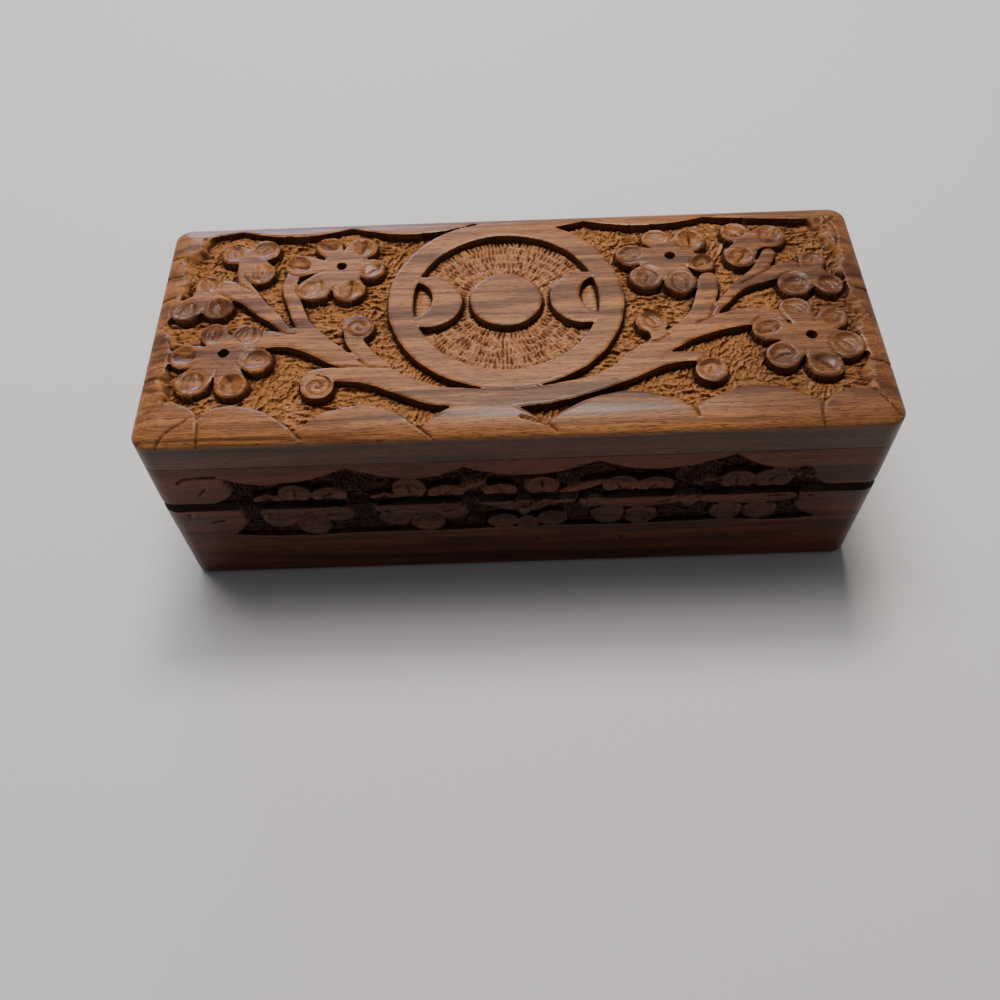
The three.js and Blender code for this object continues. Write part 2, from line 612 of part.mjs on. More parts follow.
function hinges() {
  const group = new THREE.Group();
  for (const [name, centre] of Object.entries(HINGE_X)) {
    const half = HINGE_LENGTH / 2;
    group.add(piece(`hinge_${name}_pin`, rod(PIN_RADIUS, centre - half, centre + half, PIN_Y, SEAM), brass));
    for (const [body, side] of [["base", -1], ["lid", 1]]) {
      group.add(piece(`hinge_${name}_${body}_leaf`, leaf(centre, side), brass));
      screwPlaces(centre).forEach((x, i) => {
        group.add(piece(`hinge_${name}_${body}_screw_${i + 1}`, screw(x, side), brass));
      });
    }
  }
  return group;
}

const group = new THREE.Group();
group.add(base(), lid(), hinges());

export default group;
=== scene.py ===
# %% [markdown]
# # A carved wooden trinket box
#
# This notebook dresses a small hinged box of Indian rosewood: a base and a lid glued up from boards, with flowers,
# vines and a ring of moons carved into the top, and a band of petals carved along the seam.
# The frame holds the plain solids and the hinge. What is added here is what a carver's knife and the wood itself
# add: cut edges, dished petals, gouge marks, grain, pores and a waxed finish.
# Everything is worked out in millimetres from the frame's own boxes and turned into metres at the end.

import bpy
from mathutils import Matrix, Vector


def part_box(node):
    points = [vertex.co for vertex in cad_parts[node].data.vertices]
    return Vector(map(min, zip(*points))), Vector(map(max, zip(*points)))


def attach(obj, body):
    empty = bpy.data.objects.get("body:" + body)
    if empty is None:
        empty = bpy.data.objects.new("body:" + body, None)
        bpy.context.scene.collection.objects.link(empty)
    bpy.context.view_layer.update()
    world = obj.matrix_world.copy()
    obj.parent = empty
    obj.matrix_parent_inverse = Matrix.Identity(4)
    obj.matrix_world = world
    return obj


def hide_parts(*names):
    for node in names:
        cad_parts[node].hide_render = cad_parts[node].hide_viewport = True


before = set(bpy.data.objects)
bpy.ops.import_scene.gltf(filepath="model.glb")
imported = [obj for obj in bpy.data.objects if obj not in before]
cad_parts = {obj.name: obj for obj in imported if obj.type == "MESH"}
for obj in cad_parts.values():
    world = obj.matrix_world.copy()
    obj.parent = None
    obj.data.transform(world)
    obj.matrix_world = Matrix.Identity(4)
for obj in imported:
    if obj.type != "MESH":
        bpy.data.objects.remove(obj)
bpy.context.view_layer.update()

# %% Tools and units
import math

import bmesh
import bpy
import numpy as np
from mathutils import Matrix, Vector

MM = 0.001
FINE = 0.36  # distance between the points of a carved surface, in mm
SHARP = math.radians(38)  # faces that meet at more than this keep a crisp edge


def box_mm(node):
    """Lowest and highest corner of a node, in mm."""
    low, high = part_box(node)
    return np.array(low) / MM, np.array(high) / MM


print(f"a carved surface has a point every {FINE} mm")

# %% [markdown]
# ## Sizes
#
# A dressed piece must sit exactly where its solid sits, so the driving sizes are read from the frame instead of
# being typed again. Only the details that the boxes don't give, such as the depth of the carving, are stated here.

# %% Sizes from the frame
panel_low, panel_high = box_mm("lid_top_panel")
rail_low, rail_high = box_mm("lid_front_rail")
board_low, board_high = box_mm("base_front_board")
end_low, end_high = box_mm("base_left_end")
HALF_LENGTH, HALF_WIDTH, TOP = panel_high
PANEL_BOTTOM = panel_low[2]
LID_RIM = rail_low[2]
BASE_RIM = board_high[2]
SEAM = (LID_RIM + BASE_RIM) / 2
WALL = board_high[1] - board_low[1]
INNER_Y = end_high[1]
print(f"box {2 * HALF_LENGTH:.1f} x {2 * HALF_WIDTH:.1f} x {TOP:.1f} mm, walls {WALL:.1f} mm")

# %% Sizes of the shaping, as in the solids
CORNER_RADIUS = 5.0
CROWN_DROP, CROWN_REACH = 3.0, 9.5  # how the top falls to its edges, and over what width
FOOT_RADIUS, FOOT_TAPER = 2.5, 0.7
GROOVE_DEPTH, GROOVE_HEIGHT = 1.5, 1.8
TOP_RELIEF, SIDE_RELIEF = 2.6, 2.0
LID_BAND_HEIGHT, BASE_BAND_HEIGHT = 16.3, 17.0
JOINT_CHAMFER = 0.1  # along the glued joint under the top panel
ARRIS = TOP - CROWN_DROP
GROUND = TOP - TOP_RELIEF
print(f"arris at {ARRIS:.1f} mm, ground of the carving at {GROUND:.1f} mm")

# %% [markdown]
# ## The camera, the floor and the light
#
# The camera stands about a forearm's length in front of the box and looks down on it steeply, so that the lid
# fills most of the picture and the front is seen at a flat angle. It leans by a few degrees, as a phone held in
# one hand does. The rotation is put together from a turn, a tilt and a lean, which are easier to read and to
# correct than three Euler angles.

# %% Camera
CAMERA_PLACE = Vector((-2.75, -204.8, 272.9)) * MM
CAMERA_TURN, CAMERA_TILT, CAMERA_LEAN = 0.904, 34.58, -2.607  # degrees

lens = bpy.data.cameras.new("camera")
lens.sensor_width, lens.lens = 36.0, 36.6
lens.clip_start, lens.clip_end = 0.01, 20
camera = bpy.data.objects.new("camera", lens)
camera.matrix_world = (
    Matrix.Translation(CAMERA_PLACE)
    @ Matrix.Rotation(math.radians(CAMERA_TURN), 4, "Z")
    @ Matrix.Rotation(math.radians(CAMERA_TILT), 4, "X")
    @ Matrix.Rotation(math.radians(CAMERA_LEAN), 4, "Z")
)
bpy.context.scene.collection.objects.link(camera)
bpy.context.scene.camera = camera
print(f"camera {CAMERA_PLACE.length / MM:.0f} mm from the foot of the box")

# %% [markdown]
# The light comes from above and behind, so the top is bright and the front is in shade, with a short soft shadow on
# the floor. The large lamp overhead makes no highlights of its own, as a white ceiling hardly does; the sheen on the
# wax comes from a low window at the back, which cools the rear edge, and from a skylight. The world adds the even
# light of the room's walls.

# %% Lamps
def lamp(name, place, size, power, colour):
    """A soft rectangular lamp at a place in mm that faces the box."""
    light = bpy.data.lights.new(name, "AREA")
    light.shape, light.size, light.size_y = "RECTANGLE", size[0] * MM, size[1] * MM
    light.energy, light.color = power, colour
    made = bpy.data.objects.new(name, light)
    made.location = Vector(place) * MM
    made.rotation_mode = "QUATERNION"
    made.rotation_quaternion = (-made.location).to_track_quat("-Z", "Y")
    bpy.context.scene.collection.objects.link(made)
    return made


ceiling = lamp("ceiling", (-210, 330, 1240), (560, 500), 12.5, (1.0, 0.965, 0.92))
ceiling.visible_glossy = False
lamp("window", (-420, 1480, 380), (620, 460), 9.0, (0.54, 0.69, 1.0))
lamp("skylight", (60, 500, 1070), (280, 240), 8.5, (1.0, 0.94, 0.88))

room = bpy.data.worlds.new("room")
bpy.context.scene.world = room
room.use_nodes = True
room.node_tree.nodes["Background"].inputs["Color"].default_value = (0.93, 0.95, 1.0, 1)
room.node_tree.nodes["Background"].inputs["Strength"].default_value = 0.15

# %% [markdown]
# ## Shaders as sums
#
# A shader's nodes are easier to follow as a formula than as a web of links. The class below wraps one output
# socket, and Python's own operators add a Math node for each step. Everything that isn't plain arithmetic comes
# from one method, which sets up a node, fills its sockets and returns its output.

# %% A socket that can be calculated with
class Wire:
    """An output socket of a node tree."""

    def __init__(self, socket):
        self.socket = socket

    @staticmethod
    def node(tree, kind, settings=None, inputs=None, output=0):
        """Adds a node: first its settings, then the values or wires of its sockets, by name or number."""
        made = tree.nodes.new(kind)
        for name, value in (settings or {}).items():
            setattr(made, name, value)
        for name, value in (inputs or {}).items():
            if isinstance(value, Wire):
                tree.links.new(value.socket, made.inputs[name])
            else:
                made.inputs[name].default_value = value
        return Wire(made.outputs[output])

    def _math(self, operation, first, second=0.0):
        tree = self.socket.id_data
        settings = {"operation": operation}
        return Wire.node(tree, "ShaderNodeMath", settings, {0: first, 1: second})

    def __add__(self, other):
        return self._math("ADD", self, other)

    __radd__ = __add__

    def __sub__(self, other):
        return self._math("SUBTRACT", self, other)

    def __rsub__(self, other):
        return self._math("SUBTRACT", other, self)

    def __mul__(self, other):
        return self._math("MULTIPLY", self, other)

    __rmul__ = __mul__

    def absolute(self):
        return self._math("ABSOLUTE", self)


# %% Short words for the nodes that every finish uses
def scaled(vector, x, y, z):
    """A vector with each of its parts multiplied."""
    settings = {"operation": "MULTIPLY"}
    return Wire.node(vector.socket.id_data, "ShaderNodeVectorMath", settings, {0: vector, 1: (x, y, z)})


def noise(vector, detail=2.0, rough=0.5, bent=0.0):
    """Smooth noise between 0 and 1 with one blotch for each unit of the vector."""
    inputs = {"Vector": vector, "Scale": 1.0, "Detail": detail, "Roughness": rough, "Distortion": bent}
    return Wire.node(vector.socket.id_data, "ShaderNodeTexNoise", None, inputs)


def step_between(value, low, high):
    """0 below low, 1 above high, and a soft step between them."""
    settings = {"interpolation_type": "SMOOTHSTEP"}
    inputs = {"Value": value, "From Min": low, "From Max": high}
    return Wire.node(value.socket.id_data, "ShaderNodeMapRange", settings, inputs)


def part_of(vector, axis):
    """One of the three parts of a vector: 0 for X, 1 for Y, 2 for Z."""
    return Wire.node(vector.socket.id_data, "ShaderNodeSeparateXYZ", None, {0: vector}, output=axis)


def mixed(tree, share, first, second, way="MIX"):
    """Two colours mixed."""
    settings = {"data_type": "RGBA", "blend_type": way}
    inputs = {0: share, 6: first, 7: second}
    return Wire.node(tree, "ShaderNodeMix", settings, inputs, output=2)


def toned(tree, colour, red, green, blue):
    """A colour with each of its parts multiplied."""
    return mixed(tree, 1.0, colour, (red, green, blue, 1), way="MULTIPLY")


def spot(vector, at, radius):
    """1 within a radius of a place, in the units of the vector, with a soft rim."""
    settings = {"operation": "DISTANCE"}
    away = Wire.node(vector.socket.id_data, "ShaderNodeVectorMath", settings, {0: vector, 1: at}, output=1)
    return 1 - step_between(away, radius * 0.6, radius)


def carved_mask(tree, name):
    """A number that the mesh carries at each of its points."""
    return Wire.node(tree, "ShaderNodeAttribute", {"attribute_name": name}, output=2)


# %% [markdown]
# ## Rosewood
#
# The box is cut from one brown timber with dark bands along the grain, short dark pores, and a faint lighter
# figure. Each board has its own piece of the log, so the same recipe is used with another place in the noise, and
# with the grain turned for the boards at the ends. Where the knife has cut to the ground the wood is dry, rough and
# more golden. The pits are darker, partly for the wax and dust that stay there and partly as painted shade, and the
# groove along the seam is darkened as painted shade. The mesh says where that is.

# %% Colours of the wood
BROWN = (0.195, 0.074, 0.026, 1)
PALE = (0.370, 0.155, 0.050, 1)
# DARK also serves as painted shade on the carving's walls and at the top's right end
DARK = (0.050, 0.0175, 0.0095, 1)
CUT = (0.370, 0.160, 0.046, 1)
# Dust and wax in the pits, and painted shade in the pits, in the seam groove and in the pin holes
DUST_AND_SHADE = (0.030, 0.0115, 0.0045, 1)
STABBED = (0.430, 0.210, 0.105, 1)
MASKS = ("ground", "pit_dust_and_shade", "stabbed")  # what a carved mesh says of each of its points


def new_material(name):
    """A material with its tree, emptied but for the shader and the output."""
    material = bpy.data.materials.new(name)
    material.use_nodes = True
    return material, material.node_tree, material.node_tree.nodes["Principled BSDF"]


def feed(tree, shader, name, value):
    """A wire into a socket of the shader."""
    tree.links.new(value.socket, shader.inputs[name])


# %% Grain, pores and blotches
def wood_noises(tree, coords, place, turn):
    """The noises that a board's colours are made from, with the grain along X unless it is turned about Z."""
    turned = {"Vector": coords, "Location": place, "Rotation": (0, 0, turn), "Scale": (1 / MM,) * 3}
    grain = Wire.node(tree, "ShaderNodeMapping", {"vector_type": "POINT"}, turned)
    return {
        "bands": noise(scaled(grain, 0.010, 0.17, 0.17), detail=3, rough=0.6, bent=0.5),
        "streaks": noise(scaled(grain, 0.016, 0.50, 0.50), detail=5, rough=0.7),
        "fibres": noise(scaled(grain, 0.10, 3.4, 3.4), detail=2, rough=0.6),
        "pores": noise(scaled(grain, 0.38, 5.0, 5.0), detail=1),
        "blotch": noise(scaled(grain, 0.05, 0.09, 0.09), detail=2),
        "grit": noise(scaled(grain, 1.1, 1.6, 1.6), detail=3, rough=0.7),
    }


# %% Planed wood
def planed_wood(tree, noises):
    """The colour of a planed and waxed surface."""
    wood = mixed(tree, step_between(noises["streaks"], 0.36, 0.60), BROWN, PALE)
    wood = mixed(tree, step_between(noises["bands"], 0.46, 0.62) * 0.66, wood, DARK)
    wood = mixed(tree, step_between(noises["fibres"], 0.48, 0.68) * 0.55, wood, DARK)
    return mixed(tree, step_between(noises["pores"], 0.57, 0.63) * 0.7, wood, DARK)


def dark_streak(tree, wood, noises, place, streak):
    """One dark streak at a chosen place: where it crosses the middle, how it leans, and half its width in mm."""
    middle, lean, half_width = streak
    off = part_of(place, 1) - middle - part_of(place, 0) * lean
    off = (off + (noises["bands"] - 0.5) * 6 + (noises["streaks"] - 0.5) * 4).absolute()
    share = (1 - step_between(off, 0.2, half_width)) * (0.35 + noises["fibres"] * 0.7)
    return mixed(tree, share, wood, DARK)


# %% Wood cut by the knife, and wood in the shade of handling
def cut_wood(tree, noises, stabbed, tone):
    """The dry, golden wood of the ground, paler where it is finely stabbed."""
    cut = mixed(tree, step_between(noises["blotch"], 0.35, 0.65), CUT, PALE)
    cut = mixed(tree, step_between(noises["grit"], 0.48, 0.66) * 0.42, cut, DARK)
    cut = mixed(tree, stabbed * 0.6, cut, STABBED)
    return toned(tree, cut, tone, tone, tone)


def darker_edges_and_wall_shade(tree, wood, place, edge_tone):
    """The top panel's edges, made darker than its face, partly darker wood and partly painted shade of the sides,
    and painted shade on the upright walls of its carving.
    """
    height = part_of(place, 2)
    below = 1 - step_between(height, ARRIS - 1.2, ARRIS + 0.8)
    wood = mixed(tree, below, wood, toned(tree, wood, edge_tone, 0.78 * edge_tone, 0.86 * edge_tone))
    # Painted shade: the upright walls of the carving are darkened as if in shadow
    facing_up = part_of(Wire.node(tree, "ShaderNodeTexCoord", output=1), 2)
    wall = (1 - step_between(facing_up, 0.2, 0.65)) * step_between(height, ARRIS + 0.3, ARRIS + 0.9)
    return mixed(tree, wall * 0.7, wood, DARK)


# %% Rosewood recipe
def rosewood(name, place, turn=0.0, tone=1.0, red=0.0, sheen=1.0, streak=None, cut_tone=1.0, edge_tone=1.0,
             spots=()):
    """A board's wood. place picks the piece of the log and turn the way of its grain; tone and red set how bright
    and how red it is, and sheen how much wax it has. Spots are places in mm with a radius, a share and a colour."""
    material, tree, shader = new_material(name)
    coords = Wire.node(tree, "ShaderNodeTexCoord", output=3)
    at_mm = scaled(coords, *(1 / MM,) * 3)
    noises = wood_noises(tree, coords, place, turn)
    ground, pit_dust_and_shade, stabbed = (carved_mask(tree, mask) for mask in MASKS)

    wood = planed_wood(tree, noises)
    if streak:
        wood = dark_streak(tree, wood, noises, at_mm, streak)
    wood = mixed(tree, ground * 0.85, wood, cut_wood(tree, noises, stabbed, cut_tone))
    # Painted shade, with some dust and wax: the pits and the seam groove are darkened
    wood = mixed(tree, pit_dust_and_shade * 0.84, wood, DUST_AND_SHADE)
    if edge_tone < 1:
        wood = darker_edges_and_wall_shade(tree, wood, at_mm, edge_tone)
    for at, radius, share, colour in spots:
        wood = mixed(tree, spot(at_mm, at, radius) * share, wood, colour)
    feed(tree, shader, "Base Color", toned(tree, wood, tone * (1 + red), tone, tone * (1 + 0.5 * red)))

    feed(tree, shader, "Roughness", 0.30 + noises["streaks"] * 0.20 + ground * 0.32 + pit_dust_and_shade * 0.1)
    relief = noises["fibres"] * 0.9 - noises["pores"] * 0.8 + noises["streaks"] * 0.6 + ground * noises["grit"] * 2.5
    bump = {"Strength": 0.5, "Distance": 0.16 * MM, "Height": relief}
    feed(tree, shader, "Normal", Wire.node(tree, "ShaderNodeBump", None, bump))
    shader.inputs["Specular IOR Level"].default_value = 0.24 * sheen
    shader.inputs["Coat Weight"].default_value = 0.15 * sheen
    shader.inputs["Coat Roughness"].default_value = 0.22
    return material


print("rosewood recipe ready")

# %% [markdown]
# ## Meshes from sheets
#
# A carved board is easiest to think of as a bent sheet of points: rows one way, columns the other, each point
# pushed in as far as the knife went. The helper below takes a few such sheets, joins the points that lie on each
# other, splits each small square along its flatter diagonal so that edges of cuts stay crisp, and lays every sheet
# out flat.

# %% Random fields that stay the same at each run
def lattice(seed, depth=1):
    """A table of random numbers, the same for the same seed."""
    return np.random.default_rng(seed).random((64, 64, depth))


def cloud(x, y, seed):
    """Smooth noise between -1 and 1, with one blotch for each unit."""
    table = lattice(seed)[..., 0]
    i, j = np.floor(x).astype(int), np.floor(y).astype(int)
    u, v = x - i, y - j
    u, v = u * u * (3 - 2 * u), v * v * (3 - 2 * v)
    at = lambda a, b: table[(i + a) % 64, (j + b) % 64]
    low = at(0, 0) * (1 - u) + at(1, 0) * u
    high = at(0, 1) * (1 - u) + at(1, 1) * u
    return 2 * (low * (1 - v) + high * v) - 1


def chips(x, y, seed):
    """Heights of gouge cuts, one for each unit: each cell is a small slope that ends in a step."""
    table = lattice(seed, 4)
    i, j = np.floor(x).astype(int), np.floor(y).astype(int)
    nearest = np.full(x.shape, 1e9)
    height = np.zeros(x.shape)
    for di in (-1, 0, 1):
        for dj in (-1, 0, 1):
            cell = table[(i + di) % 64, (j + dj) % 64]
            du, dv = x - (i + di + cell[..., 0]), y - (j + dj + cell[..., 1])
            away = du * du + dv * dv
            slope = (cell[..., 2] - 0.5) * 1.1 * du - (0.5 + 0.7 * cell[..., 3]) * dv
            closer = away < nearest
            nearest = np.where(closer, away, nearest)
            height = np.where(closer, slope + 0.5 * (cell[..., 3] - 0.5), height)
    return height


# %% A mesh from sheets of points
def sharpen_between(mesh, sheet):
    """Keeps the edges sharp where triangles of two sheets meet; sheet is the number of each triangle's sheet."""
    edge, sharp = np.empty(len(mesh.loops), np.int32), np.empty(len(mesh.edges), bool)
    mesh.loops.foreach_get("edge_index", edge)
    mesh.edges.foreach_get("use_edge_sharp", sharp)
    lowest, highest = np.full(len(sharp), sheet.max()), np.zeros(len(sharp), int)
    np.minimum.at(lowest, edge, np.repeat(sheet, 3))
    np.maximum.at(highest, edge, np.repeat(sheet, 3))
    mesh.edges.foreach_set("use_edge_sharp", sharp | (lowest != highest))


class Sheets:
    """Sheets of points that become one closed mesh."""

    def __init__(self):
        self.points, self.flat, self.triangles, self.masks, self.sheet = [], [], [], [], []
        self.count = 0
        self.shelf = 0.0  # where the next sheet goes in the flat layout

    def add(self, points, flat, masks=None):
        """points is (rows, columns, 3), flat the same sheet laid out in mm, masks what the knife did at each."""
        rows, columns = points.shape[:2]
        number = self.count + np.arange(rows * columns).reshape(rows, columns)
        a, b, c, d = number[:-1, :-1], number[:-1, 1:], number[1:, 1:], number[1:, :-1]
        deep = points.reshape(-1, 3)
        away = lambda one, two: np.linalg.norm(deep[one - self.count] - deep[two - self.count], axis=-1)
        along = away(a, c) <= away(b, d)
        first = np.where(along[..., None], np.stack([a, b, c], -1), np.stack([a, b, d], -1))
        second = np.where(along[..., None], np.stack([a, c, d], -1), np.stack([b, c, d], -1))
        self.triangles.append(np.vstack([first.reshape(-1, 3), second.reshape(-1, 3)]))
        self._keep(points, flat, masks)

    def fan(self, ring, centre, flat_ring, flat_centre):
        """A flat face round a centre; the ring is closed by its first point."""
        number = self.count + np.arange(len(ring))
        middle = np.full(len(ring) - 1, self.count + len(ring))
        self.triangles.append(np.stack([number[:-1], number[1:], middle], -1))
        self._keep(np.vstack([ring, centre])[None], np.vstack([flat_ring, flat_centre])[None], None)

    def _keep(self, points, flat, masks):
        count = points.shape[0] * points.shape[1]
        self.sheet.append(np.full(len(self.triangles[-1]), len(self.sheet)))
        flat = flat.reshape(-1, 2) - flat.reshape(-1, 2).min(axis=0)
        self.points.append(points.reshape(-1, 3))
        self.flat.append(flat + [0, self.shelf])
        self.masks.append(np.zeros((count, 3)) if masks is None else masks.reshape(-1, 3))
        self.shelf += flat[:, 1].max() + 1.0
        self.count += count

    def build(self, name, crisp=False):
        """The object, in metres, with its points welded and its faces turned outwards; crisp keeps the edges
        between its sheets sharp."""
        points, flat = np.vstack(self.points), np.vstack(self.flat)
        masks, triangles = np.vstack(self.masks), np.vstack(self.triangles)
        keys = np.round(points, 3)
        _, first, inverse = np.unique(keys, axis=0, return_index=True, return_inverse=True)
        welded = inverse.reshape(-1)[triangles]
        whole = (welded[:, 0] != welded[:, 1]) & (welded[:, 1] != welded[:, 2]) & (welded[:, 0] != welded[:, 2])
        welded, triangles, sheet = welded[whole], triangles[whole], np.concatenate(self.sheet)[whole]
        corner = points[first][welded]
        volume = np.einsum("ij,ij->i", corner[:, 0], np.cross(corner[:, 1], corner[:, 2])).sum()
        if volume < 0:
            welded, triangles = welded[:, ::-1], triangles[:, ::-1]
        mesh = bpy.data.meshes.new(name)
        mesh.from_pydata(points[first] * MM, [], welded)
        layer = mesh.uv_layers.new(name="OFBake")
        spread = flat / flat.max()
        layer.uv.foreach_set("vector", spread[triangles.reshape(-1)].astype(np.float32).ravel())
        for column, mask in enumerate(MASKS):
            values = mesh.attributes.new(mask, "FLOAT", "POINT")
            values.data.foreach_set("value", masks[first, column].astype(np.float32))
        mesh.polygons.foreach_set("use_smooth", np.ones(len(mesh.polygons), bool))
        mesh.set_sharp_from_angle(angle=SHARP)
        if crisp:
            sharpen_between(mesh, sheet)
        made = bpy.data.objects.new(name, mesh)
        bpy.context.scene.collection.objects.link(made)
        print(f"{name}: {len(first)} points, {len(mesh.polygons)} faces, {abs(volume) / 6000:.1f} cm3")
        return made


# %% [markdown]
# ## Drawing with distances
#
# Each figure of the carving is held as a signed distance: how far a point lies outside it, and below zero how far
# inside. Distances join with a plain minimum, give the slope of a cut's wall and the roundness of its edge, and
# let the points of the mesh be moved exactly onto an outline.

# %% Distances to discs, stems and outlines
def disc(x, y, at, radius):
    """Distance to a disc."""
    return np.hypot(x - at[0], y - at[1]) - radius


def oval(x, y, at, half_width, half_height, turn=0.0):
    """Near enough the distance to an ellipse."""
    cos, sin = math.cos(turn), math.sin(turn)
    u = ((x - at[0]) * cos + (y - at[1]) * sin) / half_width
    v = ((y - at[1]) * cos - (x - at[0]) * sin) / half_height
    reach = np.hypot(u, v)
    steep = np.hypot(u / half_width, v / half_height) / np.maximum(reach, 1e-6)
    return (reach - 1) / np.maximum(steep, 1e-6)


def span(x, y, a, b):
    """How far a point is from a straight line between two ends, and how far along it is nearest."""
    ab = np.subtract(b, a)
    share = ((x - a[0]) * ab[0] + (y - a[1]) * ab[1]) / max(float(ab @ ab), 1e-9)
    share = np.clip(share, 0, 1)
    return np.hypot(x - a[0] - share * ab[0], y - a[1] - share * ab[1]), share


def smooth_curve(points, steps=7):
    """More points, on a curve through the given ones."""
    points = np.array(points, float)
    padded = np.vstack([points[0], points, points[-1]])
    curve = []
    for k in range(len(points) - 1):
        p0, p1, p2, p3 = padded[k : k + 4]
        for t in np.arange(steps) / steps:
            bend = 2 * p1 + (p2 - p0) * t + (2 * p0 - 5 * p1 + 4 * p2 - p3) * t**2
            curve.append((bend + (3 * p1 - p0 - 3 * p2 + p3) * t**3) / 2)
    return np.array(curve + [points[-1]])


def stem(x, y, stations):
    """Distance to a stem; each station is its place and its width there."""
    curve = smooth_curve(stations)
    nearest = np.full(x.shape, 1e9)
    for a, b in zip(curve[:-1], curve[1:]):
        away, share = span(x, y, a[:2], b[:2])
        nearest = np.minimum(nearest, away - (a[2] + share * (b[2] - a[2])) / 2)
    return nearest


def arches(points, steps=8):
    """An outline through cusps and, half way between them, crests."""
    curve = []
    for k in range(0, len(points) - 2, 2):
        start, crest, end = (np.array(p, float) for p in points[k : k + 3])
        control = 2 * crest - (start + end) / 2
        for t in np.arange(steps) / steps:
            curve.append((1 - t) ** 2 * start + 2 * t * (1 - t) * control + t * t * end)
    return np.array(curve + [np.array(points[-1], float)])


def outline(x, y, ring):
    """Distance to a closed outline, below zero inside it."""
    nearest = np.full(x.shape, 1e9)
    inside = np.zeros(x.shape, bool)
    for a, b in zip(ring, np.roll(ring, -1, axis=0)):
        nearest = np.minimum(nearest, span(x, y, a, b)[0])
        if a[1] != b[1]:
            crosses = (a[1] > y) != (b[1] > y)
            inside ^= crosses & (x < a[0] + (y - a[1]) / (b[1] - a[1]) * (b[0] - a[0]))
    return np.where(inside, -nearest, nearest)


def blend_min(one, two, soft):
    """The smaller of two distances, with a fillet between them."""
    share = np.clip(0.5 + 0.5 * (two - one) / soft, 0, 1)
    return two * (1 - share) + one * share - soft * share * (1 - share)


def ease(value):
    """A soft step from 0 to 1."""
    value = np.clip(value, 0, 1)
    return value * value * (3 - 2 * value)


def onto_outline(x, y, distance):
    """Points close to an outline, moved onto it, so that a cut's edge is a clean line."""
    reach, nudge = 0.55 * FINE, 0.01
    here = distance(x, y)
    slope_x = (distance(x + nudge, y) - here) / nudge
    slope_y = (distance(x, y + nudge) - here) / nudge
    steep = np.maximum(slope_x**2 + slope_y**2, 0.2)
    move = np.where(np.abs(here) < reach, here / steep, 0)
    return x - move * slope_x, y - move * slope_y


# %% [markdown]
# ## The layout of the top
#
# The pattern is a common one for these boxes: a scalloped border, a ring with a full moon between two crescents,
# and vines that rise from under the ring to flowers in the four corners. Places are in hundredths of the half
# length and half width, so that they keep their place on the lid; reaches and radii are in millimetres.

# %% Border, flowers and vines
def on_top(along, across):
    """A place on the lid in mm, from hundredths of its half length and half width."""
    return np.array([along * HALF_LENGTH / 100, across * HALF_WIDTH / 100])


# Places near one side: hundredths along it, and mm in from it
front = lambda along, inset: (along * HALF_LENGTH / 100, inset - HALF_WIDTH)
back = lambda along, inset: (along * HALF_LENGTH / 100, HALF_WIDTH - inset)
left = lambda across, inset: (inset - HALF_LENGTH, across * HALF_WIDTH / 100)
right = lambda across, inset: (HALF_LENGTH - inset, across * HALF_WIDTH / 100)

# A cusp, the crest of the arch that follows it, the next cusp, and so on round the lid
TOP_BORDER = [
    front(-83, 9), front(-71, 11.3), front(-57.5, 2.8), front(-41, 10.4), front(-25, 3), front(-9, 10.8),
    front(7.5, 3), front(27, 12.4), front(46, 6.4), front(63, 13), front(79, 6.6), front(87, 11),
    front(95, 9.5), right(-60, 6.2), right(-47, 5.2), right(-28, 6.8), right(-9, 2.6), right(22, 6.4),
    right(52, 3.8), right(64, 6.8), back(92, 6.4), back(78, 5.6), back(57.5, 3.2), back(41, 6.6),
    back(22, 3.2), back(6, 6.6), back(-10.5, 2.6), back(-28, 7.2), back(-47, 3), back(-63, 6.6),
    back(-79.5, 3), back(-88, 5.4), left(84, 9.5), left(73, 8.4), left(66, 4.4), left(32, 6.6),
    left(0, 2.4), left(-26, 6.8), left(-47, 3.4), left(-58, 6), left(-69, 6), front(-88, 12.6),
]

# Heart, size of the hub, and the petals by angle, reach and radius
FLOWERS = [
    (on_top(-78.8, -27), 6, [(-17, 9.7, 4.5), (50, 8.4, 4.3), (115, 8.2, 4), (183, 10.5, 4.4), (234, 12.4, 4.9),
                             (286, 11.8, 4.6)]),
    (on_top(-48.8, 51.5), 6, [(-8, 8.4, 4.4), (55, 9.5, 4.4), (115, 10, 4), (175, 12.4, 4.4), (229, 11.6, 4.9),
                              (285, 9.7, 4.7)]),
    (on_top(80.2, -28), 6, [(-22, 9.4, 5.1), (43, 9.6, 4.2), (103, 10.5, 4.5), (164, 11.4, 4.6),
                            (218, 10.8, 4.8), (280, 10.3, 4.9)]),
    (on_top(45.8, 51), 6, [(-19, 9.4, 3.9), (45, 9.3, 4.7), (113, 8.2, 4.2), (175, 11.3, 4.4), (227, 11.3, 4.8),
                           (280, 10.7, 4.7)]),
]
SPRAYS = [
    (on_top(-86.2, 24), 4, [(94, 5.3, 3.9), (215, 7, 4.4), (-44, 4.7, 4.5)]),
    (on_top(-75.4, 62), 4, [(154, 5.5, 4), (47, 5.4, 4.3), (-61, 6.5, 4.5)]),
    (on_top(84.7, 28.5), 4, [(77, 5.9, 3.9), (214, 6.4, 4.8), (-43, 5.6, 4.3)]),
    (on_top(69.5, 63), 4, [(131, 5.7, 4.3), (20, 6.4, 4.9), (238, 6.6, 4.6)]),
]
BUDS = [on_top(-42.6, -7.2), on_top(-52.4, -57.9), on_top(38.1, -10.4), on_top(51.9, -54.4)]
BUD_RADIUS, HEART_RADIUS = 4.4, 1.3

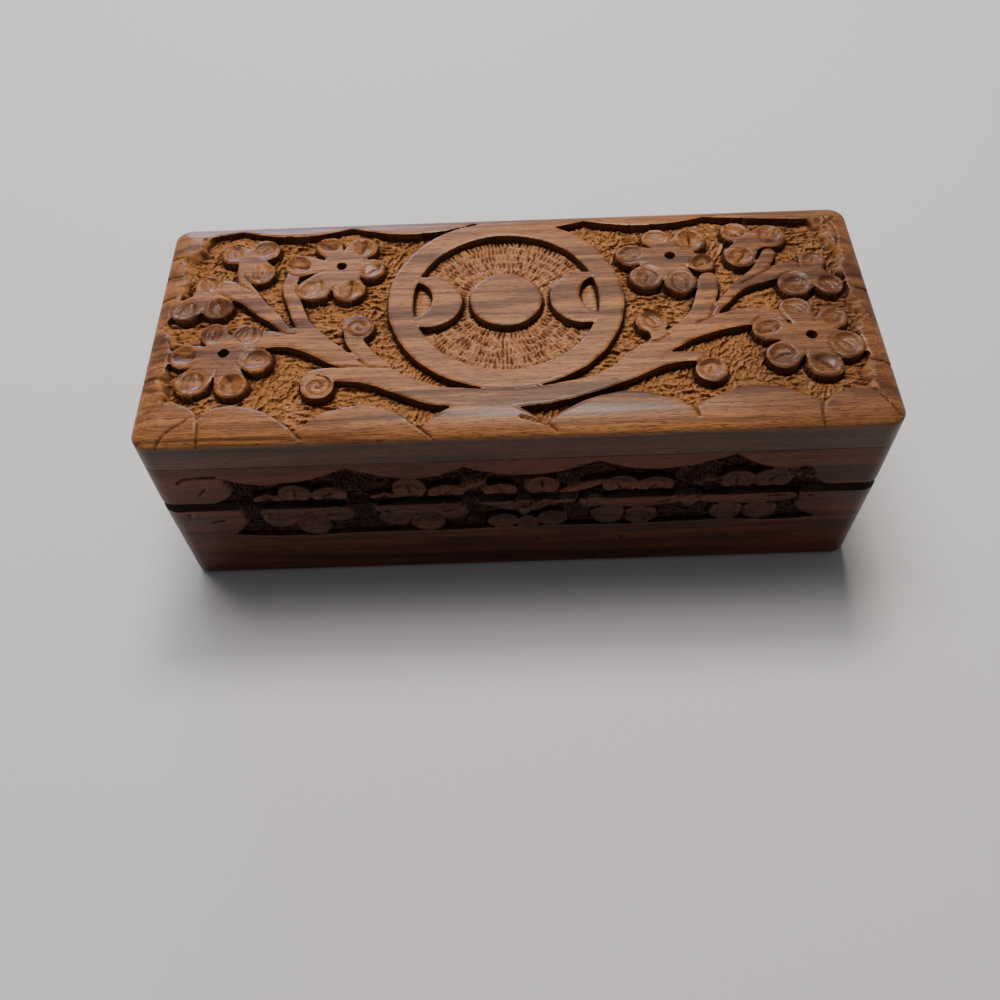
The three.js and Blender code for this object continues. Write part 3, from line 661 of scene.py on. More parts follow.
# Each vine runs through stations: along, across and its width in mm
VINES = [
    [(-7.9, -71.4, 5.5), (-19.2, -69.8, 6.3), (-25.6, -64.3, 6.6), (-31.5, -57.1, 6.6), (-36.5, -52.1, 6.2),
     (-42.4, -49, 5.2), (-49.3, -48.3, 4.6), (-53.8, -49, 3.8), (-55.6, -54.3, 3.2)],
    [(-32.5, -51.4, 4.5), (-38.4, -43.8, 4.8), (-46.7, -34.8, 5.6), (-52.8, -24.3, 6.6), (-59.1, -15.7, 7.4),
     (-64.6, -15.7, 6), (-70.9, -15.7, 6.8)],
    [(-48.3, -30, 5), (-53, -20, 5.6), (-57.1, -7.1, 4.6), (-59.7, 6, 4), (-61.7, 20.2, 4), (-63.1, 33.3, 3.8),
     (-62.3, 46.4, 4)],
    [(-61.6, -10, 2.4), (-63.6, -4.8, 2.6), (-66.2, 2.9, 3.6), (-70, 12.1, 4.6), (-74.9, 24.8, 5.8),
     (-81.3, 34, 6)],
    [(-73.7, 25.7, 4.4), (-75.8, 34.8, 3.4), (-77, 44.3, 3.1), (-77, 53.8, 3.6)],
    [(-34.7, -45.7, 4), (-38.8, -35.7, 4.4), (-42, -26.2, 4.6), (-43.9, -16.7, 4.6), (-44.5, -10, 4)],
    [(2, -72.4, 5.5), (11.8, -69, 6), (22.3, -61.7, 5.2), (30.5, -51.9, 6.6), (37.8, -45.2, 4.8),
     (43.7, -43.1, 3.7), (49.3, -43.3, 3.2)],
    [(28.6, -51, 4.6), (33.5, -41.4, 5.6), (39.8, -31.4, 6.6), (47.3, -21, 6), (54.6, -14.8, 5.5), (60.7, -11, 6),
     (65.6, -9, 6.4), (72.9, -10, 5)],
    [(55.2, -6.2, 2.2), (56.7, 0.2, 2.4), (60.7, 11.4, 2.8), (63.8, 19.5, 3.6), (68, 25.7, 4.4), (72.9, 30, 4.8),
     (79.8, 36.7, 4.8)],
    [(64.2, 21, 3), (68.4, 30, 3.6), (71.5, 39, 3.8), (74.1, 50, 3.8)],
    [(40.8, -30, 5.6), (46.7, -19.5, 6), (50.8, -7.6, 5.8), (53.3, 5.7, 5.6), (54.8, 17.6, 5.8), (55.6, 26.2, 5.6)],
    [(40.4, -30.5, 5), (39.4, -23.3, 4.8), (38.8, -15.7, 4.8)],
    [(-12.8, -71.4, 6), (-2, -72.9, 6.4), (8.9, -71.4, 6)],
]

# %% Ring and moons
RING_CENTRE = np.array([-1.8, 6.0])
RING_RADIUS = HALF_WIDTH - 8.6
RING_BAND = 6.9
FULL_MOON_RADIUS, CRESCENT_RADIUS, CRESCENT_REACH = 10.2, 10.0, 22.6
HOLLOW_SIZE, HOLLOW_SHIFT = (5.2, 7.0), (3.4, 1.0)


def medallion(x, y):
    """Distance to the ring and the three moons."""
    around = np.hypot(x - RING_CENTRE[0], y - RING_CENTRE[1])
    ring = np.abs(around - RING_RADIUS + RING_BAND / 2) - RING_BAND / 2
    moons = disc(x, y, RING_CENTRE, FULL_MOON_RADIUS)
    for side in (-1, 1):
        centre = RING_CENTRE + (side * CRESCENT_REACH, 0)
        hollow = oval(x, y, centre + (side * HOLLOW_SHIFT[0], HOLLOW_SHIFT[1]), *HOLLOW_SIZE)
        moons = np.minimum(moons, np.maximum(disc(x, y, centre, CRESCENT_RADIUS), -hollow))
    return np.minimum(ring, np.where(around < RING_RADIUS, moons, 1e3))


# %% Petals in the round
def petal_places(heart, petals):
    """Centre, radius and direction of each petal."""
    for angle, reach, radius in petals:
        turn = math.radians(angle)
        yield heart + reach * np.array([math.cos(turn), math.sin(turn)]), radius, turn


def drop(x, y, at, radius, turn):
    """A petal: a round end, and a neck that narrows towards the heart."""
    root = at - 1.75 * radius * np.array([math.cos(turn), math.sin(turn)])
    away, share = span(x, y, root, at)
    return away - radius * (0.45 + 0.55 * share**0.8)


PETALS = [p for heart, _, petals in FLOWERS + SPRAYS for p in petal_places(heart, petals)]
vines = [[(*on_top(along, across), width) for along, across, width in vine] for vine in VINES]
border_ring = arches(TOP_BORDER + TOP_BORDER[:1])[:-1]
print(f"{len(PETALS)} petals, {len(BUDS)} buds, {len(vines)} vines, {len(border_ring)} points on the border")


def motifs(x, y):
    """Distance to all that stands up inside the border."""
    plants = np.full(x.shape, 1e9)
    for vine in vines:
        plants = blend_min(plants, stem(x, y, vine), 0.3)
    for heart, hub, _ in FLOWERS + SPRAYS:
        plants = blend_min(plants, disc(x, y, heart, hub), 0.5)
    for at, radius, turn in PETALS:
        plants = blend_min(plants, drop(x, y, at, radius, turn), 0.35)
    for at in BUDS:
        plants = np.minimum(plants, disc(x, y, at, BUD_RADIUS))
    return np.minimum(plants, medallion(x, y))


def top_cut(x, y):
    """Below zero where the top is cut down to the ground, wavering a little as a knife does."""
    wander_x = x + 0.16 * cloud(x / 5, y / 5, 3) + 0.07 * cloud(x / 1.7, y / 1.7, 4)
    wander_y = y + 0.16 * cloud(x / 5, y / 5, 5) + 0.07 * cloud(x / 1.7, y / 1.7, 6)
    pocket = outline(wander_x, wander_y, border_ring)
    return np.maximum(pocket, -motifs(wander_x, wander_y))


# %% [markdown]
# ## The carved surface of the top
#
# The height of the lid's top is put together the way the carver works: the crowned board first, then the ground
# sunk with steep walls, then the figures themselves, which get a softened edge, a dish and a slit in each petal
# and a hole in each heart. Last come the marks of the small gouge over the whole ground.

# %% The crowned board
def edge_inset(x, y):
    """Distance in from the outline of the box."""
    qx = np.abs(x) - HALF_LENGTH + CORNER_RADIUS
    qy = np.abs(y) - HALF_WIDTH + CORNER_RADIUS
    outside = np.hypot(np.maximum(qx, 0), np.maximum(qy, 0))
    return CORNER_RADIUS - outside - np.minimum(np.maximum(qx, qy), 0)


def crown(x, y):
    """Height of the rounded-over board before it is carved."""
    share = np.clip(1 - edge_inset(x, y) / CROWN_REACH, 0, 1)
    return ARRIS + CROWN_DROP * np.sqrt(1 - share * share)


def crown_stations(half, spacing):
    """Grid lines across the lid, closer together where the crown is steep."""
    turn = np.linspace(0, math.pi / 2, int(CROWN_REACH * 1.15 / spacing) + 2)
    rim = half - CROWN_REACH * (1 - np.cos(turn))
    middle = np.linspace(-rim[-1], rim[-1], int(2 * rim[-1] / spacing) + 1)
    return np.concatenate([-rim, middle[1:-1], rim[::-1]])


# %% Marks in the ground and on the figures
def gouged(x, y):
    """The chopped ground: short overlapping cuts, most of them across the grain, here and there along it."""
    bent_x = x + 0.7 * cloud(x / 4, y / 4, 11)
    bent_y = y + 0.5 * cloud(x / 3, y / 3, 12)
    level = chips(bent_x / 2.1 + 0.15 * bent_y, bent_y / 1.15, 13)
    upright = chips((0.45 * bent_x + 0.9 * bent_y) / 2.2, (0.45 * bent_y - 0.9 * bent_x) / 1.2, 16)
    share = ease(0.55 + 2.6 * cloud(x / 13, y / 11, 9))
    broad = chips(bent_x / 4.2, bent_y / 1.9, 18)
    small = chips(bent_x / 1.1 + bent_y * 0.3, bent_y / 0.85, 14)
    cuts = level * share + upright * (1 - share)
    worn = ease(0.5 + 2.2 * cloud(x / 7, y / 6, 17))
    fine = 0.25 * small + 0.25 * cloud(x / 6, y / 6, 15)
    return (0.38 + 0.30 * worn) * cuts + 0.48 * (1 - worn) * broad + fine


STAB_LENGTH, STAB_WIDTH = 2.9, 1.2


def punched(x, y):
    """Short stabs that point at the full moon, in uneven rows round it."""
    around = np.hypot(x - RING_CENTRE[0], y - RING_CENTRE[1]) + 0.9 * cloud(x / 6, y / 6, 20)
    angle = np.arctan2(y - RING_CENTRE[1], x - RING_CENTRE[0])
    row = np.floor(around / STAB_LENGTH).astype(int)
    strokes = np.maximum(np.round(2 * math.pi * (row + 0.5) * STAB_LENGTH / STAB_WIDTH), 1)
    turn = angle / (2 * math.pi) * strokes + lattice(21)[row % 64, 0, 0] + 0.45 * cloud(x / 2.5, y / 2.5, 24)
    number = np.floor(turn).astype(int)
    chance = lattice(22)[number % 64, row % 64, 0]
    hollow = 1 - np.abs(turn - number - 0.5) * 2
    along = around / STAB_LENGTH - row
    swell = np.sin(math.pi * np.clip(along * 1.08 - 0.04, 0, 1)) ** 0.45
    lean = (chance - 0.4) * (0.5 - along)
    return 0.35 - (0.4 + 0.75 * chance) * hollow * swell + 0.5 * lean + 0.25 * chips(x / 1.3, y / 1.2, 23)


def ridged(x, y):
    """The hollows of the crescents: a few cuts straight across."""
    return 0.7 * np.abs(((y + 0.4 * cloud(x / 3, y / 3, 25)) / 1.5) % 1 - 0.5) + 0.15 * cloud(x / 1.5, y / 1.5, 26)


def petal_marks(x, y, at, size, turn, seed, deep=1.0):
    """How far a petal's top is cut down: a bowl or an eye inside a rim, a slit, and a line round its free side."""
    lean, fullness, stroke, tip, tilt, kind, phase = np.random.default_rng(seed).random(7)
    cos, sin = math.cos(turn), math.sin(turn)
    p = ((x - at[0]) * cos + (y - at[1]) * sin) / size[0]
    q = ((y - at[1]) * cos - (x - at[0]) * sin) / size[1]
    lean = (lean - 0.5) * 1.3
    u = (p - 0.06) * math.cos(lean) + q * math.sin(lean)
    v = q * math.cos(lean) - (p - 0.06) * math.sin(lean) + 0.12 * np.sin(2.2 * u + 6 * phase)
    bowl = (0.55 + 0.45 * fullness) * np.clip(1.7 * (1 - (u / 0.8) ** 2 - (v / 0.72) ** 2), 0, 1) ** 0.8
    eye = np.clip(1 - np.abs(v) / (0.05 + 0.42 * np.clip(1 - (u / 0.74) ** 2, 0, 1)), 0, 1) * (np.abs(u) < 0.74)
    slit = np.clip(1 - np.abs(v) / 0.13 - (u / (0.35 + 0.3 * stroke)) ** 2, 0, 1)
    facet = 0.6 * (tip - 0.5) * u + 0.7 * (tilt - 0.5) * v
    inside = np.clip(1 - p * p - q * q, 0, 1)
    lens = 0.55 * eye * (1 if kind < 0.4 else -1 if kind > 0.75 else 0)
    marks = bowl + lens + (0.25 + 0.3 * stroke) * slit + facet * np.minimum(3 * inside, 1)
    edge = np.abs(np.hypot(p, q) - 1) * min(size)
    line = 0.36 * np.clip(1 - edge / 0.55, 0, 1) * ease((p + 0.75) / 0.5)
    return deep * (np.where(inside > 0, marks, 0) + line)


def curl_marks(x, y, at, radius, turn):
    """A bud cut as a curl: a groove that winds in to its middle."""
    around = np.hypot(x - at[0], y - at[1]) / radius
    angle = (np.arctan2(y - at[1], x - at[0]) - turn) / (2 * math.pi) % 1
    winding = np.abs((around * 1.9 - angle + 0.5) % 1 - 0.5)
    return (around < 0.86) * (0.5 * np.clip(1 - winding / 0.3, 0, 1) + 0.3 * (1 - around))


# %% V cuts across the border, each from one end to the other
V_CUTS = [
    [(-84.2, -33), (-83.6, -37), (-83.8, -43)], [(-95, -43), (-92, -38.5), (-86.8, -34.6)],
    [(79.8, -35.6), (79.2, -39), (79.8, -43)], [(92.2, -28), (95, -33), (99.4, -39.5)],
    [(-28.5, -36.5), (-25.5, -39), (-22.6, -41.4)], [(1, -37), (7.6, -39), (10.4, -41)],
    [(-59.5, -38.8), (-56.6, -41)], [(46.5, -35.8), (47.4, -38.2)],
    [(-101.5, 28.5), (-96.4, 28.3)], [(-101.5, 20.5), (-95.8, 20)], [(-101.5, -19.5), (-97, -19.2)],
    [(-101.5, 11), (-97, 11.4)], [(91, 31), (97.4, 36.4)], [(95, 22), (96.8, 29), (94.6, 36)],
    [(57.8, 31), (64.4, 33)], [(82, 30), (92, 33)], [(101.5, 6), (97.6, 6.4)], [(101.5, -22), (96, -21)],
]
VINE_CUTS = [
    [(-48.4, -17.6), (-40, -18), (-31, -18.8)], [(75.4, 15.2), (70.4, 12.2), (65.6, 9.2)], [(57.2, 0.8), (55, -3.4)],
    [(-66.4, -3.2), (-63.4, -4.6), (-60.8, -4.8)], [(-42.6, -15.2), (-40.2, -17.6)], [(55.8, -3.4), (51, -5.6)],
    [(-75.6, 13.4), (-78.6, 15.4), (-80.2, 18.2)], [(36.2, -11.8), (39.6, -11.8), (42.8, -9.6)],
]


def v_cuts(x, y, lines, deep, half_width):
    """Depth of a set of V lines."""
    depth = np.zeros(x.shape)
    for line in lines:
        curve = smooth_curve(line, 4)
        away = np.min([span(x, y, a, b)[0] for a, b in zip(curve[:-1], curve[1:])], axis=0)
        depth = np.maximum(depth, deep * np.clip(1 - away / half_width, 0, 1))
    return depth


# %% The height at each point
WALL_RUN = 0.14  # how far a wall leans out over its full depth
SOFT_RUN = 2.4  # the same at the two ends of the lid, where the ground rises to the border
SOFT_END = 13.0  # how far in from the ends it does so
HEART_DEPTH = 2.4
BORDER_CUT, VINE_CUT = (0.6, 0.55), (0.45, 0.6)  # depth and half width of the V cuts


def top_surface(x, y):
    """Height, how much of it is ground, and how much of that is finely stabbed, at points of the lid's top."""
    cut = top_cut(x, y)
    figure = crown(x, y)
    soft = ease((np.abs(x) - HALF_LENGTH + SOFT_END) / 3) * ease((motifs(x, y) - 1) / 2)
    figure -= (0.21 - 0.17 * soft) * (1 - ease(cut / 0.6)) * (cut > -0.1)
    figure -= np.maximum(v_cuts(x, y, V_CUTS, *BORDER_CUT), v_cuts(x, y, VINE_CUTS, *VINE_CUT))
    for seed, (at, radius, turn) in enumerate(PETALS):
        figure -= petal_marks(x, y, at, (radius, radius), turn, 100 + seed)
    for seed, at in enumerate(BUDS[:2]):
        figure -= curl_marks(x, y, at, BUD_RADIUS, 2.2 + seed)
    for seed, at in enumerate(BUDS[2:]):
        figure -= petal_marks(x, y, at, (BUD_RADIUS, BUD_RADIUS), 1.9 - seed, 180 + seed, deep=1.2)
    for heart, _, _ in FLOWERS:
        figure -= HEART_DEPTH * (1 - ease(disc(x, y, heart, HEART_RADIUS - 0.25) / 0.5))
    in_ring = np.hypot(x - RING_CENTRE[0], y - RING_CENTRE[1]) < RING_RADIUS - RING_BAND / 2
    in_hollow = in_ring & (np.abs(x - RING_CENTRE[0]) > CRESCENT_REACH - 2)
    marks = np.where(in_ring, np.where(in_hollow, ridged(x, y), punched(x, y)), gouged(x, y))
    ground = GROUND + marks - 0.35 * (1 - ease(-cut / 0.9))
    depth = -cut + soft * 0.8 * cloud(x / 2, y / 1.2, 27)
    sunk = np.clip((depth - 0.03) / (WALL_RUN + soft * SOFT_RUN), 0, 1)
    figure = np.minimum(figure, crown(x, y))
    ground = np.minimum(ground, figure - 0.1)
    return figure * (1 - sunk) + ground * sunk, ease(-cut / 0.5 - 0.4), in_ring * ease(-cut / 0.8)


def blurred(values, reach):
    """A blurred copy of a grid of values, by running means both ways."""
    for axis in (0, 1):
        pad = [(0, 0), (0, 0)]
        pad[axis] = (reach + 1, reach)
        total = np.cumsum(np.pad(values, pad, mode="edge"), axis=axis)
        high = np.take(total, range(2 * reach + 1, total.shape[axis]), axis=axis)
        low = np.take(total, range(0, total.shape[axis] - 2 * reach - 1), axis=axis)
        values = (high - low) / (2 * reach + 1)
    return values


def pits(height, spacing):
    """How deep a point lies under its surroundings, from 0 to 1."""
    near = blurred(height, max(1, round(0.7 / spacing)))
    wide = blurred(height, max(2, round(1.8 / spacing)))
    return np.clip(1.6 * (near - height) + 0.8 * (wide - height) - 0.06, 0, 1)


# %% Build the top panel
KEPT_EDGE = 0.8  # points this close to the box's outline aren't moved onto the edge of a cut


def to_rounded_corners(x, y):
    """A grid's square corners, drawn in to the round corners of the box."""
    cx, cy = HALF_LENGTH - CORNER_RADIUS, HALF_WIDTH - CORNER_RADIUS
    ax, ay = np.maximum(np.abs(x) - cx, 0), np.maximum(np.abs(y) - cy, 0)
    reach = np.maximum(np.hypot(ax, ay), 1e-9)
    scale = np.where((ax > 0) & (ay > 0), np.maximum(ax, ay) / reach, 1)
    return (np.sign(x) * (np.abs(x) - ax + ax * scale), np.sign(y) * (np.abs(y) - ay + ay * scale))


def border_of(grid):
    """The points round a grid of points, closed by the first."""
    sides = [grid[0, :-1], grid[:-1, -1], grid[-1, :0:-1], grid[:0:-1, 0]]
    ring = np.vstack(sides)
    return np.vstack([ring, ring[:1]])


def top_panel():
    """The carved face, the upright edges and the flat underside, as one closed mesh."""
    columns, rows = crown_stations(HALF_LENGTH, FINE), crown_stations(HALF_WIDTH, FINE)
    x, y = to_rounded_corners(*np.meshgrid(columns, rows))
    moved = onto_outline(x, y, top_cut)
    rim = edge_inset(x, y) < KEPT_EDGE
    x, y = np.where(rim, x, moved[0]), np.where(rim, y, moved[1])
    z, ground, stabbed = top_surface(x, y)
    z[[0, -1], :], z[:, [0, -1]] = ARRIS, ARRIS
    sheets = Sheets()
    plan = np.stack([x, y], -1)
    sheets.add(np.dstack([x, y, z]), plan, np.dstack([ground, pits(z, FINE), stabbed]))
    ring = border_of(plan)
    levels = [(JOINT_CHAMFER, PANEL_BOTTOM), (0, PANEL_BOTTOM + JOINT_CHAMFER)]
    levels += [(0, ARRIS - down) for down in (6, 3, 1, 0)]
    length = np.concatenate([[0], np.cumsum(np.linalg.norm(np.diff(ring, axis=0), axis=1))])
    skirt, flat = [], []
    for inset, level in levels:
        at = ring * (1 - inset / np.array([HALF_LENGTH, HALF_WIDTH]))
        skirt.append(np.column_stack([at, np.full(len(at), level)]))
        flat.append(np.column_stack([length / 3, np.full(len(at), ARRIS - level + inset)]))
    sheets.add(np.array(skirt), np.array(flat))
    under = skirt[0][::-1]
    sheets.fan(under, (0, 0, PANEL_BOTTOM), under[:, :2], (0, 0))
    return sheets.build("carved_top_panel")


top = top_panel()

# %% [markdown]
# ## The boards of the sides
#
# A front or back board runs the full length and turns round the two upright corners, where its end grain shows. An
# end board is flat and stands between them. Both are one sheet on the outside, bent round the corners and pushed
# in by the shape of the side and by the carving, and flat on the inside. So one function makes all eight.

# %% How far the side stands in from the outline, by height
def lid_inset(z):
    """The side of the lid: the groove along the seam, and the chamfer under the top panel."""
    groove = GROOVE_DEPTH * np.clip(1 - (z - LID_RIM) / GROOVE_HEIGHT, 0, 1)
    return groove + np.clip(z - (PANEL_BOTTOM - JOINT_CHAMFER), 0, 1)


def base_inset(z):
    """The side of the base: its rounded foot, its taper, and the groove along the seam."""
    foot = np.clip(1 - z / FOOT_RADIUS, 0, 1)
    taper = FOOT_TAPER * np.clip(1 - (z - FOOT_RADIUS) / (BASE_RIM - GROOVE_HEIGHT - FOOT_RADIUS), 0, 1)
    groove = GROOVE_DEPTH * np.clip((z - BASE_RIM + GROOVE_HEIGHT) / GROOVE_HEIGHT, 0, 1)
    return taper + FOOT_RADIUS * (1 - np.sqrt(1 - foot * foot)) + groove


print(f"lowest edge of the base {base_inset(np.array(0.0)):.1f} mm in from the outline")

# %% [markdown]
# The band of flowers is cut across the seam with the box shut, so half of each flower is on the lid and half on the
# base. Each half is a drawing of four lists: the cusps and crests of its edge; its petals, by place, half width, half
# height and lean; the places where the ground is left high and only crossed with fine strokes, with their reach; and
# short V cuts. Places are in hundredths of the half side and of the band's height. The ends can't be seen in the
# photograph, so they get a shorter drawing of the same kind, with one half mirroring the other.

# %% Drawings of the bands
LID_BAND = (
    [(-84.5, 5), (-79.5, 27), (-78, 48), (-79, 63), (-80, 80), (-65, 57), (-46, 98), (-29, 62), (-14.5, 91),
     (3, 62), (21.5, 97), (38.5, 68), (58, 103), (65.5, 70), (75, 54), (78, 63), (80, 44), (82, 20), (86.5, 4)],
    [(-69, 13, 4.2, 2.4, 0), (-61.5, 28, 4.5, 4.2, 0), (-52, 21, 4.9, 3.6, 0), (-37, 9, 4.4, 1.9, 0),
     (-30, 32, 4.7, 5.2, 0), (-20, 18, 5, 3.9, 0), (-12.5, 37, 4, 1.6, 0.45), (-5, 19, 4.7, 3.4, 0),
     (6.5, 28, 4.8, 4.5, 0), (17.5, 25, 7.2, 1.7, 0.38), (28, 25, 4.9, 4.4, 0), (37.5, 21, 5.2, 4, 0),
     (51.5, 30, 3.4, 1.1, 0.35), (60, 27, 4.8, 4.7, 0), (69.5, 29, 5.3, 4.7, 0), (77.5, 38, 3.4, 1.1, -0.45)],
    [(-76.5, 57, 3.6), (-44.5, 64, 5.4), (-12.5, 38, 3.4), (1, 43, 1.8), (14, 49, 3), (49, 56, 6.2), (52, 29, 3.4),
     (77, 45, 3.4)],
    [[(-87.5, 33), (-85, 52)], [(-92, 70), (-89, 83), (-81, 85)], [(-61.5, 19), (-61.5, 38)],
     [(-54, 16), (-51, 24)], [(-30, 19), (-30.5, 40)], [(-20.5, 12), (-19, 16)], [(6.5, 22), (6.5, 40)],
     [(27, 25), (28, 14)], [(36.5, 12), (38, 22)], [(59.5, 32), (60, 15)], [(68.5, 23), (70.5, 36)],
     [(-65, 59), (-61, 61), (-57.5, 59)]],
)
BASE_BAND = (
    [(-78.5, 3), (-77, 38), (-78.5, 61), (-80, 76), (-82, 89), (-70, 95), (-59, 98), (-42.5, 93), (-25.5, 96),
     (2, 91), (29.5, 93), (47.5, 90), (62, 86), (73, 94), (85.5, 87), (80.5, 69), (78, 48), (78, 27), (78.5, 8)],
    [(-67.5, 43, 5, 4.4, 0), (-58.5, 68, 4.9, 4.6, 0), (-51.5, 33, 5, 3.8, 0), (-34.5, 48, 5.3, 4, 0),
     (-26, 66, 4.8, 4.6, 0), (-19, 35, 4.6, 4.1, 0), (-4.5, 72, 4.5, 3.5, 0), (9.5, 68, 4.4, 3.8, 0),
     (25.5, 61, 4.8, 4.6, 0), (34.5, 66, 4.9, 4.4, 0), (59, 61, 4.8, 4.3, 0), (68.5, 62, 5, 4.6, 0),
     (20.5, 19, 3.7, 3, 0), (1.5, 24, 2.2, 5.2, 0), (2.5, 84, 3.2, 4.6, 0), (13.5, 7, 2.8, 2.6, 0),
     (47.5, 17, 2.8, 4.4, 0.2), (-63, 23, 9.6, 3.2, 0), (-59, 43, 4.6, 3, 0), (-28, 23, 13, 3, 0),
     (-5, 19, 7.4, 2.1, -0.35), (7.5, 22, 5.6, 2.1, 0.42), (33.5, 22, 12.6, 3.2, 0), (64, 22, 14.2, 3, 0)],
    [(-75.5, 23, 3.6), (-44, 19, 4.2), (-13, 23, 3.8), (1.5, 24, 2.6), (13.5, 6, 3), (16.5, 45, 3.6),
     (47.5, 14, 3.4)],
    [[(-72, 28), (-68.5, 23)], [(-53.5, 36), (-51, 34)], [(-38, 32), (-34.5, 30)], [(-21, 39), (-18.5, 34)],
     [(39, 28), (42, 23)], [(35.5, 42), (40, 37), (42.5, 34)], [(53.5, 42), (56, 35), (58, 31)],
     [(69.5, 19), (74.5, 15)], [(69.5, 35), (73, 45)], [(81, 22), (82, 20)], [(78, 39), (78, 16)],
     [(-93, 35), (-92.5, 19)], [(-56.5, 51), (-54, 65)], [(-87, 47), (-83.5, 41)], [(-12, 19), (-5, 35), (0, 51)],
     [(-62.5, 54), (-62, 70)], [(30, 57), (30, 72)], [(63.5, 53), (63.5, 70)]],
)
END_LID_BAND = (
    [(-64, 10), (-60, 45), (-62, 86), (-41, 60), (-20, 98), (0, 66), (20, 98), (41, 60), (62, 86), (60, 45),
     (64, 10)],
    [(-42, 18, 3.8, 1.8, 0), (-30, 32, 4.4, 4, 0), (-18, 20, 4, 2.2, 0), (0, 30, 2.6, 4.2, 0),
     (18, 20, 4, 2.2, 0), (30, 32, 4.4, 4, 0), (42, 18, 3.8, 1.8, 0)],
    [(-52, 60, 3), (0, 62, 3), (52, 60, 3)],
    [[(-30, 20), (-29, 40)], [(30, 20), (31, 40)]],
)
END_BASE_BAND = (
    [(-62, 2), (-60, 50), (-64, 96), (0, 94), (64, 96), (60, 50), (62, 2)],
    [(-42, 48, 4.2, 4, 0), (-29, 74, 4.4, 3.9, 0), (-16, 48, 4.2, 4, 0), (-29, 18, 8, 2.3, 0),
     (42, 48, 4.2, 4, 0), (29, 74, 4.4, 3.9, 0), (16, 48, 4.2, 4, 0), (29, 18, 8, 2.3, 0), (0, 30, 2, 4.6, 0)],
    [(-54, 40, 3), (0, 30, 3), (54, 40, 3)],
    [[(-38, 16), (-24, 18)], [(24, 16), (38, 18)]],
)


# %% A band as distances
LEAF_SIZE = 6.0  # longer shapes are leaves, which have no marks on them


class Band:
    """The carved band of one side, above the seam (1) or below it (-1)."""

    def __init__(self, drawing, half_side, rim, direction, height, seed):
        edge, petals, nets, nicks = drawing
        place = lambda along, away: (along * half_side / 100, rim + direction * away * height / 100)
        beyond = rim - direction * 4
        ring = arches([place(*p) for p in edge])
        self.ring = np.vstack([ring, [(ring[-1][0], beyond), (ring[0][0], beyond)]])
        self.petals = [(place(a, b), (w, h), turn) for a, b, w, h, turn in petals]
        self.nets = [(place(a, b), reach) for a, b, reach in nets]
        self.nicks = [[place(*p) for p in line] for line in nicks]
        self.direction, self.seed = direction, seed

    def cut(self, x, z):
        """Below zero where the side is cut down to the ground."""
        wander_x = x + 0.14 * cloud(x / 4, z / 4, self.seed) + 0.06 * cloud(x / 1.5, z / 1.5, self.seed + 1)
        wander_z = z + 0.14 * cloud(x / 4, z / 4, self.seed + 2)
        petals = [oval(wander_x, wander_z, at, *size, turn) for at, size, turn in self.petals]
        return np.maximum(outline(wander_x, wander_z, self.ring), -np.min(petals, axis=0))

    def net(self, x, z):
        """1 where the ground is high and crossed with fine strokes."""
        frayed = 0.6 * cloud(x, z, 7)
        return np.max([1 - ease((disc(x, z, at, reach) + frayed) / 1.2) for at, reach in self.nets], axis=0)

    def inset(self, x, z, side):
        """How far in the surface lies, how much of it is ground, and how finely that is stroked."""
        cut = self.cut(x, z)
        net = self.net(x, z) * ease(1 - cut / 0.5)
        figure = side + 0.25 * (1 - ease(cut / 0.6)) * (cut > -0.1) + v_cuts(x, z, self.nicks, 0.55, 0.5)
        for number, (at, size, turn) in enumerate(self.petals):
            if max(size) < LEAF_SIZE:
                marks = petal_marks(x, z, at, size, -self.direction * math.pi / 2, 10 * self.seed + number, deep=0.55)
                figure = figure + marks * (1 - ease((side - 0.4) / 0.6))
        bent = x + 1.1 * cloud(x / 3, z / 2.4, self.seed + 4)
        hatch = np.abs((bent + 0.35 * z * np.sign(cloud(x / 6, z / 6, self.seed + 8))) / 1.2 % 1 - 0.5) - 0.25
        cross = np.abs((0.6 * bent - z + 0.6 * cloud(x / 2, z / 2, self.seed + 9)) / 1.5 % 1 - 0.5) - 0.25
        rough = 0.4 * chips(bent / 1.5, z / 1.1, self.seed + 5)
        share = ease(0.5 + 1.5 * cloud(x / 9, z / 12, self.seed + 6))
        ground = SIDE_RELIEF - 0.2 + 1.3 * share * hatch + rough
        netted = 0.75 + 1.5 * hatch + 1.1 * cross * ease(0.5 + 2 * cloud(x / 4, z / 4, self.seed + 7)) + side * 0.5
        ground = ground * (1 - net) + netted * net
        figure = np.maximum(figure + net * (0.25 + hatch), side)
        ground = np.maximum(ground + 0.3 * (1 - ease(-cut / 0.9)), figure + 0.1)
        sunk = np.clip((-cut - 0.03) / (WALL_RUN + 0.8 * net), 0, 1)
        return figure * (1 - sunk) + ground * sunk, ease(-cut / 0.5 - 0.4), net


def groove_shade(z):
    """1 in the groove along the seam, where painted shade stands for the shadow under the lid."""
    return ease((GROOVE_HEIGHT + 0.4 - np.abs(z - SEAM)) / 0.6)


# %% [markdown]
# The outer sheet of a board could be a flat grid bent by a modifier, but then the carving would be bent with it. Here
# each point knows how far along the side it lies, measured round the corners, and how far in from the outline, and
# is put straight where it belongs. The stations lie close together only where there is carving.

# %% Where the points of a side go
def stretch(low, high, fine_low, fine_high, coarse=1.1):
    """Stations from low to high that lie closer together over the carved stretch."""
    parts = [(low, fine_low, coarse), (fine_low, fine_high, FINE), (fine_high, high, coarse)]
    stations = [np.linspace(a, b, max(1, round((b - a) / step)) + 1)[:-1] for a, b, step in parts if b > a]
    return np.append(np.concatenate(stations), high)


